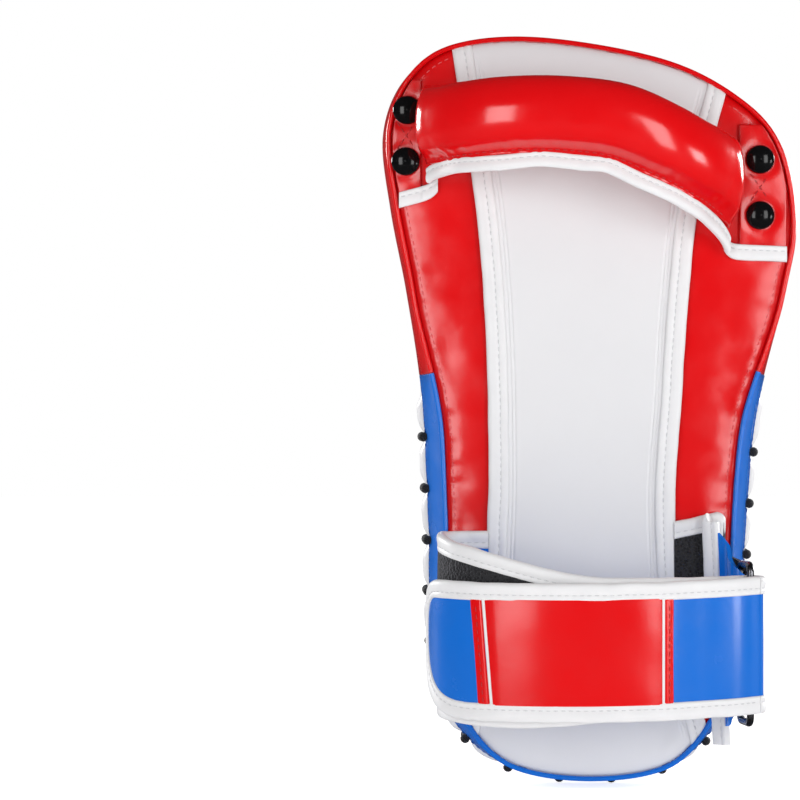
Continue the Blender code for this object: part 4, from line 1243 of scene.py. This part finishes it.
def band(name, place, stations, low, high, half, finish, across=14, puff=0.0, centre=0.0):
    """A flat leather band between two edges given as functions of s, with a soft fill."""
    def faces_at(s, t):
        z = low(s) + (high(s) - low(s)) * t
        swell = puff * math.sin(math.pi * t) ** 0.5
        wrinkle = centre + crumple(s, z, 18 * MM, 30 * MM, 4) * 0.25 * MM
        return place(s, half + swell + wrinkle, z), place(s, -half + wrinkle, z)

    return slab(name, stations, np.linspace(0, 1, across), faces_at, finish)


def band_edges(end):
    """Lower and upper edge of the main band: high at its sewn end, and level past the arm."""
    def low(s):
        dip = BAND_SAG * math.exp(-(((s - 110 * MM) / (45 * MM)) ** 2))
        return STRAP_LEFT_LOW + (STRAP_LOW - STRAP_LEFT_LOW) * s / end - dip

    def high(s):
        level = float(smoothstep(s, 40 * MM, 160 * MM))
        return STRAP_LEFT_HIGH + (STRAP_HIGH - STRAP_LEFT_HIGH) * level

    return low, high


def make_strap():
    main = main_track()
    end = main.length[-1]
    low, high = band_edges(end)
    stations = np.linspace(0.2 * MM, end, 170)
    body = band("strap_leather", main.place, stations, lambda s: low(s) + STRAP_UNDERLAP,
                lambda s: high(s) - STRAP_UNDERLAP, STRAP_SKIN, FINISH["blue"])
    finish_piece(body, "pad", "blue_leather", "strap_band")
    loops = band("strap_loops", main.place, np.linspace(20 * MM, end - 6 * MM, 220),
                 lambda s: low(s) + BINDING_WIDTH - 0.6 * MM,
                 lambda s: high(s) - BINDING_WIDTH + 0.6 * MM,
                 0.7 * MM, FINISH["pile"], across=60, puff=0.4 * MM, centre=1.2 * MM)
    finish_piece(loops, "pad", "black_pile", "strap_loop_pile")
    for where, edge, up in (("lower", low, 1), ("upper", high, -1)):
        path = [(s, edge(s)) for s in stations]
        bind(f"strap_edge_{where}", main.place, path, [(0, up)] * len(path), up,
             "pad", f"strap_binding_{where}")
    return main


def make_fold():
    """The strap's bend round the ring's outer bar: leather and both bound edges."""
    steps = np.linspace(-1, 1, 41) * (math.pi / 2 + 0.03)
    centre = np.array(RING_OUTER)
    track = Track([centre + FOLD_RADIUS * (PULL_NORMAL * math.sin(a) + STRAP_PULL * math.cos(a))
                   for a in steps])
    stations = np.linspace(0, track.length[-1], 40)
    pieces = [band("fold_leather", track.place, stations, lambda s: STRAP_LOW + STRAP_UNDERLAP,
                   lambda s: STRAP_HIGH - STRAP_UNDERLAP, STRAP_SKIN, FINISH["blue"])]
    for where, z, up in (("lower", STRAP_LOW, 1), ("upper", STRAP_HIGH, -1)):
        path = [(s, z) for s in stations]
        pieces += bound_edge(f"fold_edge_{where}", track.place, path, [(0, up)] * len(path), up + 3)
    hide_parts("strap_fold")
    for piece in pieces:
        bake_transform(piece)


def tail_shift(length):
    """How far the tail's middle line lies below its ends."""
    flat = length - TAIL_TIP
    return lambda s: -TAIL_SAG * math.sin(0.75 * math.pi * min(s, flat) / flat)


def tip_outline(tail):
    """Edge path and inward normals of the tail: along the top, round the tip, and back below.

    The tip's lower corner is the rounder one."""
    length = tail.length[-1]
    shift = tail_shift(length)
    path, normal = [], []
    top, under = TIP_CORNERS
    for s in np.linspace(0, length - top, 80):
        path.append((s, STRAP_HIGH + shift(s)))
        normal.append((0.0, -1.0))
    end_shift = shift(length)
    round_corner((length - top, STRAP_HIGH - top + end_shift), top,
                 np.linspace(90, 0, 24)[1:], path, normal)
    round_corner((length - under, STRAP_LOW + under + end_shift), under,
                 -np.linspace(0, 90, 32)[:-1], path, normal)
    for s in np.linspace(length - under, 0, 80):
        path.append((s, STRAP_LOW + shift(s)))
        normal.append((0.0, 1.0))
    return path, normal


def tail_edges(tail, s):
    """Lower and upper edge of the tail at s."""
    length = tail.length[-1]
    edges = []
    for base, radius, up in ((STRAP_LOW, TIP_CORNERS[1], 1), (STRAP_HIGH, TIP_CORNERS[0], -1)):
        into = max(0.0, s - (length - radius))
        rounded = radius - math.sqrt(max(0.0, radius**2 - into**2))
        edges.append(base + up * rounded + tail_shift(length)(s))
    return edges


def tail_patch(tail, shift, x_low, x_high):
    """The red patch sewn on the tail between two x positions. Its left edge slants."""
    thick, puff, margin = 0.7 * MM, 0.3 * MM, 8.6 * MM
    s0, s1 = tail.where_x(x_high), tail.where_x(x_low)

    def faces_at(u, v):
        s = s0 + (s1 + PATCH_SLANT * (1 - v) - s0) * u
        z_low = STRAP_LOW + shift(s) + margin
        z_high = STRAP_HIGH + shift(s) - margin
        z = z_low + (z_high - z_low) * v
        edge = min(u, 1 - u) * (s1 - s0)
        swell = puff * (1 - math.exp(-edge / (1.2 * MM)))
        bumpy = crumple(s, z, 26 * MM, 22 * MM, 2) * 0.18 * MM
        return tail.place(s, -1.25 * MM - thick - swell - bumpy, z), tail.place(s, -1.0 * MM, z)

    return slab("tail_red_patch", np.linspace(0, 1, 36), np.linspace(0, 1, 18), faces_at,
                FINISH["red"])


def make_tail(main):
    tail = tail_track(main)
    length = tail.length[-1]
    shift = tail_shift(length)
    rings = []
    for s in np.concatenate([np.linspace(0, length - 46 * MM, 90),
                             np.linspace(length - 45 * MM, length - 1.4 * MM, 50)]):
        a, b = tail_edges(tail, s)
        t = np.linspace(a + STRAP_UNDERLAP, b - STRAP_UNDERLAP, 16)
        outer = [tail.place(s, -1.2 * MM - 0.4 * MM * math.sin(math.pi * k / 15), z)
                 for k, z in enumerate(t)]
        rings.append(outer + [tail.place(s, 1.2 * MM, z) for z in t[::-1]])
    finish_piece(lofted("tail_leather", rings, FINISH["blue"]), "tail", "blue_leather", "tail_band")
    path, normal = tip_outline(tail)
    bind("tail_edge", tail.place, path, normal, 8.0, "tail", "tail_binding")

    patch = tail_patch(tail, shift, -57.2 * MM, 33.4 * MM)
    finish_piece(patch, "tail", "red_leather", "tail_patch")
    for name, low, high, lean, thick, finish, slot in (
        ("tail_red_strip_right", 34.6, 39.4, 0, 0.8, "red", "red_leather"),
        ("tail_white_line_right", 33.2, 34.8, 0, 1.15, "tape", "white_binding"),
        ("tail_white_line_left", -58.8, -57.2, PATCH_SLANT, 1.15, "tape", "white_binding"),
        ("tail_red_strip_left", -64.6, -58.6, PATCH_SLANT, 0.8, "red", "red_leather"),
    ):
        piece = slanted_strip(tail, shift, name, low * MM, high * MM, lean, thick * MM,
                              FINISH[finish])
        finish_piece(piece, "tail", slot)
    for name, x, lean in (("tail_stitches_right", 37.2 * MM, 0),
                          ("tail_stitches_left", -61.8 * MM, PATCH_SLANT)):
        points, normals = [], []
        for v in np.linspace(0, 1, 30):
            s = tail.where_x(x) + lean * (1 - v)
            z = STRAP_LOW + shift(s) + 9 * MM + (STRAP_HIGH - STRAP_LOW - 18 * MM) * v
            here, core = (np.array(tail.place(s, off, z)) for off in (-2.25 * MM, 0))
            points.append(here)
            normals.append((here - core) / np.linalg.norm(here - core))
        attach(stitches(name, points, normals, FINISH["red_thread"]), "tail")
    hooks = band("hook_patch", tail.place, np.linspace(length - 88 * MM, length - 24 * MM, 60),
                 lambda s: STRAP_LOW + shift(s) + 11 * MM,
                 lambda s: STRAP_HIGH + shift(s) - 11 * MM,
                 0.35 * MM, FINISH["hooks"], across=40, centre=1.8 * MM)
    finish_piece(hooks, "tail", "black_pile", "hook_tape")


def slanted_strip(tail, shift, name, x_low, x_high, lean, thick, finish):
    """A narrow strip across the tail with rounded long edges."""
    margin = 8.8 * MM
    s0, s1 = tail.where_x(x_high), tail.where_x(x_low)

    def faces_at(v, u):
        s = s0 + (s1 - s0) * u + lean * (1 - v)
        z = STRAP_LOW + shift(s) + margin + (STRAP_HIGH - STRAP_LOW - 2 * margin) * v
        rise_here = thick * (0.25 + 0.75 * math.sqrt(max(0.0, 1 - (2 * u - 1) ** 4)))
        return tail.place(s, -1.2 * MM - rise_here, z), tail.place(s, -1.0 * MM, z)

    return slab(name, np.linspace(0, 1, 40), np.linspace(0, 1, 9), faces_at, finish)


def make_holder():
    centre = np.array(RING_INNER)
    wrap = [centre + FOLD_RADIUS * np.array([math.cos(a), math.sin(a)])
            for a in np.radians(np.linspace(28, -178, 41))]
    base = smooth_curve([np.array(p) * MM for p in HOLDER_PATH] + [wrap[0]], 10)
    base = Track(resampled(np.vstack([base[:-1], wrap[:21]]), 110))
    back = smooth_curve([wrap[-1]] + [np.array(p) * MM for p in FLAP_PATH], 8)
    flap = Track(resampled(np.vstack([wrap[20:], back[1:]]), 80))

    end = base.length[-1]
    low = linear(-34 * MM, STRAP_LOW, end)
    peak, corner = base.where_x(HOLDER_PEAK[0]) - 1 * MM, 4.5 * MM
    last = peak + corner

    def top(s):
        return 68 * MM + (HOLDER_PEAK[1] - 68 * MM) * s / peak

    def high(s):
        if s < peak:
            return top(s)
        if s < last:
            return top(peak) - corner + math.sqrt(max(0.0, corner**2 - (s - peak) ** 2))
        return 52 * MM + (STRAP_HIGH - 52 * MM) * (s - last) / (end - last)

    stations = np.concatenate([np.linspace(0.2 * MM, last - 0.01 * MM, 60),
                               np.linspace(last, end, 50)])
    body = band("holder_loops", base.place, stations, lambda s: low(s) + 1.5 * MM,
                lambda s: high(s) - 1.5 * MM, 1.5 * MM, FINISH["pile"], across=50)
    finish_piece(body, "pad", "black_pile", "holder_base")
    edge = [(s, low(s)) for s in np.linspace(0.2 * MM, end, 90)]
    upper, inward = [(s, top(s)) for s in np.linspace(0.2 * MM, peak, 50)], [(0.0, -1.0)] * 50
    round_corner((peak, top(peak) - corner), corner, np.linspace(90, 0, 14)[1:], upper, inward)
    for z in np.linspace(top(peak) - corner - 1 * MM, 50 * MM, 16):
        upper.append((last, z))
        inward.append((-1.0, 0.0))
    for where, path, normal in (("lower", edge, [(0.0, 1.0)] * len(edge)),
                                ("upper", upper, inward)):
        bind(f"holder_edge_{where}", base.place, path, normal, len(path) / 7,
             "pad", f"holder_binding_{where}")

    end = flap.length[-1]
    low, high = linear(STRAP_LOW, -51 * MM, end), linear(STRAP_HIGH, 73 * MM, end)
    lean = 7 * MM

    def stop(z):
        """Where the flap ends at height z: its lower corner stops short of the upper one."""
        return end - lean * (high(end) - z) / (high(end) - low(end))

    def faces_at(share, t):
        z_end = low(end) + (high(end) - low(end)) * t
        s = share * (stop(z_end) - 1.5 * MM)
        z = low(s) + 0.6 * MM + (high(s) - low(s) - 1.2 * MM) * t
        ease = crumple(s, z, 12 * MM, 24 * MM, 8) * 0.3 * MM
        return flap.place(s, STRAP_SKIN + ease, z), flap.place(s, -STRAP_SKIN + ease, z)

    body = slab("flap_leather", np.linspace(0, 1, 60), np.linspace(0, 1, 24), faces_at,
                FINISH["blue"])
    finish_piece(body, "pad", "blue_leather", "holder_flap")
    path, normal = [], []
    corner = 5 * MM
    round_corner((stop(high(end)) - corner, high(end) - corner), corner,
                 np.linspace(90, 0, 10)[2:], path, normal)
    for z in np.linspace(high(end) - corner - 1 * MM, low(end) + 0.5 * MM, 90):
        path.append((stop(z), z))
        normal.append((-1.0, 0.0))
    bind("flap_edge", flap.place, path, normal, 11.0, "pad", "flap_binding")


def make_ring():
    inner, outer = np.array(RING_INNER), np.array(RING_OUTER)
    across = (outer - inner) / np.linalg.norm(outer - inner)
    corner = 4 * MM
    points = []
    for (at, z, turn, up) in ((inner, RING_LOW, 1, 1), (outer, RING_LOW, -1, 1),
                              (outer, RING_HIGH, -1, -1), (inner, RING_HIGH, 1, -1)):
        centre = np.array([*(at + across * corner * turn), z + corner * up])
        arc = []
        for a in np.linspace(0, math.pi / 2, 10):
            flat = -across * corner * turn * math.cos(a)
            arc.append((centre[0] + flat[0], centre[1] + flat[1],
                        centre[2] - corner * up * math.sin(a)))
        points += arc if (turn > 0) == (up > 0) else arc[::-1]
    data = bpy.data.curves.new("ring_wire", "CURVE")
    data.dimensions = "3D"
    spline = data.splines.new("POLY")
    spline.points.add(len(points) - 1)
    for place, p in zip(spline.points, points):
        place.co = (*p, 1)
    spline.use_cyclic_u = True
    spline.use_smooth = True
    data.bevel_depth = RING_RADIUS
    data.bevel_resolution = 6
    data.materials.append(FINISH["steel"])
    ring = bpy.data.objects.new("ring_wire", data)
    bpy.context.scene.collection.objects.link(ring)
    finish_piece(ring, "ring", "dark_metal", "strap_ring")


# ---- grip ---------------------------------------------------------------------------
def grip_frames(count):
    """The grip's middle line, its two cross directions, its fullness and its distances."""
    curve = smooth_curve([(x, -h, z) for x, h, z in GRIP_PATH], 12) * MM
    points = resampled(curve, count)
    place = np.linspace(0, 1, count)
    into = np.minimum(place, 1 - place) / 0.085
    full = np.sqrt(np.clip(1 - (1 - np.clip(into, 0, 1)) ** 2.2, 0, 1))
    turn = np.gradient(points, axis=0)
    turn /= np.linalg.norm(turn, axis=1)[:, None]
    up = np.array([0, 0, 1.0]) - turn * turn[:, 2:3]
    up /= np.linalg.norm(up, axis=1)[:, None]
    away = np.cross(up, turn)
    away *= np.where(away[:, 1:2] > 0, -1, 1)
    upright = np.array([0.06, 0, 1.0])
    share = smoothstep(np.maximum(place - 0.72, 0) / 0.28)[:, None]
    up = up * (1 - share) + upright * share * 1.1
    return points, up, away, full, along(points)


def grip_section(full, around=72):
    """Roll of leather closed along a flat sewn edge below: up and away, in metres."""
    depth = GRIP_END_DEPTH + (GRIP_HALF_DEPTH - GRIP_END_DEPTH) * full
    height = GRIP_HALF_HEIGHT
    section = []
    for a in np.linspace(-math.pi / 2, 1.5 * math.pi, around, endpoint=False):
        up, away = math.sin(a), math.cos(a)
        flange = smoothstep(-up, 0.62, 0.96)
        bulk = math.copysign(abs(away) ** 0.92, away) * depth
        pinched = math.copysign(min(abs(bulk), 1.7 * MM), away) if abs(away) > 1e-6 else 0.0
        section.append((up * height, bulk + (pinched - bulk) * flange))
    return section


def make_grip():
    points, up, away, full, length = grip_frames(210)
    rings, fade = [], []
    for k, (p, u, w, share) in enumerate(zip(points, up, away, full)):
        ring = []
        ends = math.exp(-min(length[k], length[-1] - length[k]) / (9 * MM))
        for h, d in grip_section(share):
            flare = 1.8 * MM * ends * max(0.0, h / GRIP_HALF_HEIGHT)
            v = p + u * (h + flare) + w * (d + 1.5 * MM * ends * math.sin(ends * math.pi))
            crease = crumple(length[k], h, 14 * MM, 30 * MM, 2) * (0.12 + 1.0 * ends) * MM
            fine = crumple(length[k], h, 5 * MM, 11 * MM, 7) * (0.03 + 0.2 * ends) * MM
            low = smoothstep(-h / GRIP_HALF_HEIGHT, 0.35, 0.9)
            gather = crumple(length[k], 1, 5 * MM, 1, 3) * 0.55 * MM * low
            out = u * (h / GRIP_HALF_HEIGHT) * 0.4 + w * np.sign(d)
            ring.append(v + out * (crease * 0.6 + fine + gather) * min(1.0, abs(d) / (3 * MM)))
            # darker on the roll's lower side and at its curled ends: painted shade
            fade.append(0.35 * low + 0.3 * ends)
        rings.append(ring)
    roll = lofted("grip_roll", rings, FINISH["grip"], fade)
    finish_piece(roll, "pad", "red_leather", "grip_cover")

    # stitch line above the binding, on the outer face
    line, normals = [], []
    for p, u, w, share in zip(points, up, away, full):
        line.append(p - u * GRIP_HALF_HEIGHT * 0.9 + w * 2.15 * MM)
        normals.append(w)
    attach(stitches("grip_stitches", line[4:-4], normals[4:-4], FINISH["red_thread"]), "pad")

    # binding: place() works in the flange's own frame, s along it and z down from its edge
    def place(s, off, z):
        p, u, w = (at_distance(s, length, rows) for rows in (points, up, away))
        return tuple(p - u * (GRIP_HALF_HEIGHT + z) + w * off * 0.82)

    path = []
    for s in np.linspace(0, length[-1], 150):
        # the tape drops towards the tabs' tapes at both ends
        drop = 3.0 * math.exp(-s / (7 * MM)) + 5.0 * math.exp(-(length[-1] - s) / (7 * MM))
        path.append((s, (7.4 + drop + crumple(s, 0.4, 21 * MM, 1, 6)) * MM))
    bind("grip_edge", place, path, [(0, -0.86)] * len(path), 15.0, "pad", "grip_binding")


def tab_surface(x, z, lift):
    return side_y(x, z) - GAP - lift


def make_tabs():
    for side, (x0, x1, z0, z1, slope) in TABS.items():
        x0, x1, z0, z1, slope = (v * MM for v in (x0, x1, z0, z1, slope))
        sign = -1 if side == "left" else 1
        rows = []
        for share in np.linspace(0, 1, 60):
            height = z0 + (z1 - z0) * share
            limit = seam_x(sign, height) - sign * 1.2 * MM
            first, last = (max(x0, limit), x1) if sign < 0 else (x0, min(x1, limit))
            xs = np.linspace(first, last, 26)
            z = height + slope * (xs - x0) / (x1 - x0) * (1 - share)
            points = np.column_stack([xs, np.zeros(26), z])
            lift = TAB_THICK + ripple(points, 9 * MM, 0.3 * MM, 4.4)
            for rx, rz in RIVETS.values():
                near = np.hypot(xs - rx * MM, z - rz * MM)
                lift = lift - 0.5 * MM * np.exp(-((near - 8 * MM) / (2.5 * MM)) ** 2)
            rows.append(np.column_stack([xs, tab_surface(xs, z, lift), z]))
        rows = np.array(rows)
        tab = skin(f"tab_leather_{side}", rows, FINISH["red"], TAB_LEATHER, backward,
                   edge_dirt_and_shade(rows, 1.5 * MM))
        finish_piece(tab, "pad", "red_leather", f"grip_tab_{side}")
        # a cross of stitches between the two rivets
        pair = [r for r in RIVETS.values() if (r[0] < 0) == (sign < 0)]
        cx = sum(r[0] for r in pair) / 2 * MM
        cz = sum(r[1] for r in pair) / 2 * MM
        lines = []
        for lean in (-1, 1):
            t = np.linspace(-1, 1, 14)
            xs, zs = cx + t * 5.5 * MM, cz + lean * t * 8 * MM
            path = np.column_stack([xs, tab_surface(xs, zs, TAB_THICK + 0.15 * MM), zs])
            lines.append(stitches(f"cross_{side}_{lean}", path, np.tile([0.0, -1, 0], (14, 1)),
                                  FINISH["red_thread"]))
        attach(joined(f"tab_stitches_{side}", lines), "pad")
        make_tab_binding(side, rows[0], sign)


def make_tab_binding(side, lower_edge, sign):
    """White tape along the tab's lower edge. It runs on under the grip and curls up to its tape."""
    edge = np.asarray(lower_edge)
    order = edge if sign < 0 else edge[::-1]
    ahead = (order[-1] - order[-4]) / np.linalg.norm(order[-1] - order[-4])
    reach, curl = (9.5 * MM, 3.2 * MM) if sign < 0 else (8.5 * MM, 4.5 * MM)
    extra = [order[-1] + ahead * d + np.array([0, -0.5 * MM, curl * (d / reach) ** 3])
             for d in np.linspace(1 * MM, reach, 10)]
    line = resampled(np.vstack([order, extra]), 60)
    length = along(line)

    def place(s, off, z):
        p = at_distance(s, length, line)
        return (p[0], p[1] + TAB_THICK * 0.5 - off * 0.75, p[2] - z)

    path = [(s, 8.0 * MM) for s in np.linspace(0, length[-1], 50)]
    bind(f"tab_edge_{side}", place, path, [(0, -0.9)] * len(path), 21.0 + sign,
         "pad", f"tab_binding_{side}")


def make_rivets():
    """Domed caps, turned from a profile, with a small rolled rim."""
    dome = [(RIVET_CAP * math.sin(a), 0.2 * MM + 3.1 * MM * math.cos(a) ** 1.15)
            for a in np.linspace(0.002, math.pi / 2 * 0.985, 22)]
    rim = [(RIVET_CAP + 0.12 * MM, 0.15 * MM), (RIVET_CAP + 0.1 * MM, -0.15 * MM),
           (RIVET_CAP - 0.4 * MM, -0.3 * MM)]
    steps = 64
    for name, (x, z) in RIVETS.items():
        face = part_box(f"rivet_{name}")[0].y + 3.2 * MM
        vertices = [
            (x * MM + radius * math.cos(a), face - height, z * MM + radius * math.sin(a))
            for radius, height in dome + rim
            for a in np.linspace(0, 2 * math.pi, steps, endpoint=False)
        ]
        rows = len(dome) + len(rim)
        faces = grid_faces(rows, steps, wrap=True)
        faces += [tuple(range(steps)), tuple(range((rows - 1) * steps, rows * steps))[::-1]]
        cap = new_piece(f"rivet_cap_{name}", vertices, faces, FINISH["cap"])
        turn_outward(cap, lambda c, x=x, z=z, f=face: (c[0] - x * MM, c[1] - f, c[2] - z * MM))
        finish_piece(cap, "pad", "black_cap", f"rivet_{name}")


def finish_hidden_nodes(nodes):
    """Procedural foam on the layers inside the cover."""
    for name in ("foam_back", "foam_middle", "foam_front", "arm_cushion", "grip_foam"):
        nodes[name].data.materials.clear()
        nodes[name].data.materials.append(FINISH["foam"])


# ---- stage --------------------------------------------------------------------------
def area_light(name, place, target, size, power):
    data = bpy.data.lights.new(name, "AREA")
    data.shape = "RECTANGLE"
    data.size, data.size_y = size
    data.energy = power
    lamp = bpy.data.objects.new(name, data)
    lamp.location = place
    lamp.rotation_euler = (Vector(target) - Vector(place)).to_track_quat("-Z", "Y").to_euler()
    bpy.context.scene.collection.objects.link(lamp)


def make_stage(low):
    mesh = bpy.data.meshes.new("floor")
    corners = [(x * FLOOR_REACH, y * FLOOR_REACH, 0)
               for x, y in ((-1, -1), (1, -1), (1, 1), (-1, 1))]
    mesh.from_pydata(corners, [], [(0, 1, 2, 3)])
    floor = bpy.data.objects.new("floor", mesh)
    floor.location.z = low.z - FLOOR_DROP
    bpy.context.scene.collection.objects.link(floor)
    n = Nodes("pale_floor")
    # the floor glows most for the eye, and is dark in the leather's reflections
    ray = n.add("ShaderNodeLightPath")
    pale = n.mixed(n.noise(3, 3), (0.9, 0.9, 0.9), (0.93, 0.93, 0.93))
    n.feed(Base_Color=n.mixed(ray.outputs["Is Glossy Ray"], pale, (0.08, 0.08, 0.08)))
    glow = n.scaled(ray.outputs["Is Camera Ray"], 0, 1, *FLOOR_GLOW)
    unless_glossy = n.scaled(ray.outputs["Is Glossy Ray"], 0, 1, 1, 0)
    n.feed(Emission_Strength=n.math("MULTIPLY", glow, unless_glossy))
    n.set(Roughness=0.8, Emission_Color=(1, 1, 1, 1))
    mesh.materials.append(n.material)
    floor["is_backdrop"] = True
    world = bpy.data.worlds.new("studio")
    world.use_nodes = True
    tree = world.node_tree
    back = tree.nodes["Background"]
    back.inputs["Color"].default_value = (1, 1, 1, 1)
    path = tree.nodes.new("ShaderNodeLightPath")
    strength = None
    for ray, value in (("Is Glossy Ray", REFLECTED), ("Is Camera Ray", 1.0)):
        step = tree.nodes.new("ShaderNodeMix")
        tree.links.new(path.outputs[ray], step.inputs["Factor"])
        step.inputs["A"].default_value = AMBIENT
        if strength is not None:
            tree.links.new(strength, step.inputs["A"])
        step.inputs["B"].default_value = value
        strength = step.outputs["Result"]
    tree.links.new(strength, back.inputs["Strength"])
    bpy.context.scene.world = world
    for name, place, size, watts in LAMPS:
        area_light(name, place, LIGHT_TARGET, size, watts)


def make_camera(low, high):
    """Square on to the arm's side, with the pad right of the middle."""
    data = bpy.data.cameras.new("camera")
    data.sensor_width = 36
    data.lens = LENS
    camera = bpy.data.objects.new("camera", data)
    centre = (low + high) / 2
    camera.location = (centre.x + CAMERA_SHIFT[0], CAMERA_BACK, centre.z + CAMERA_SHIFT[1])
    camera.rotation_euler = (math.pi / 2, 0, 0)
    bpy.context.scene.collection.objects.link(camera)
    bpy.context.scene.camera = camera


def main():
    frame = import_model()
    cad_low, cad_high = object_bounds()
    bpy.context.scene.view_settings.view_transform = "Standard"
    make_finishes()
    make_camera(cad_low, cad_high)
    make_stage(cad_low)
    finish_hidden_nodes(frame["nodes"])
    make_walls()
    make_tongue()
    make_lace()
    make_front()
    make_welts()
    make_back_panels()
    seam_stitches()
    make_arm_panel()
    make_trims()
    strap = make_strap()
    make_fold()
    make_tail(strap)
    make_holder()
    make_ring()
    make_grip()
    make_tabs()
    make_rivets()
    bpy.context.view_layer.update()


main()
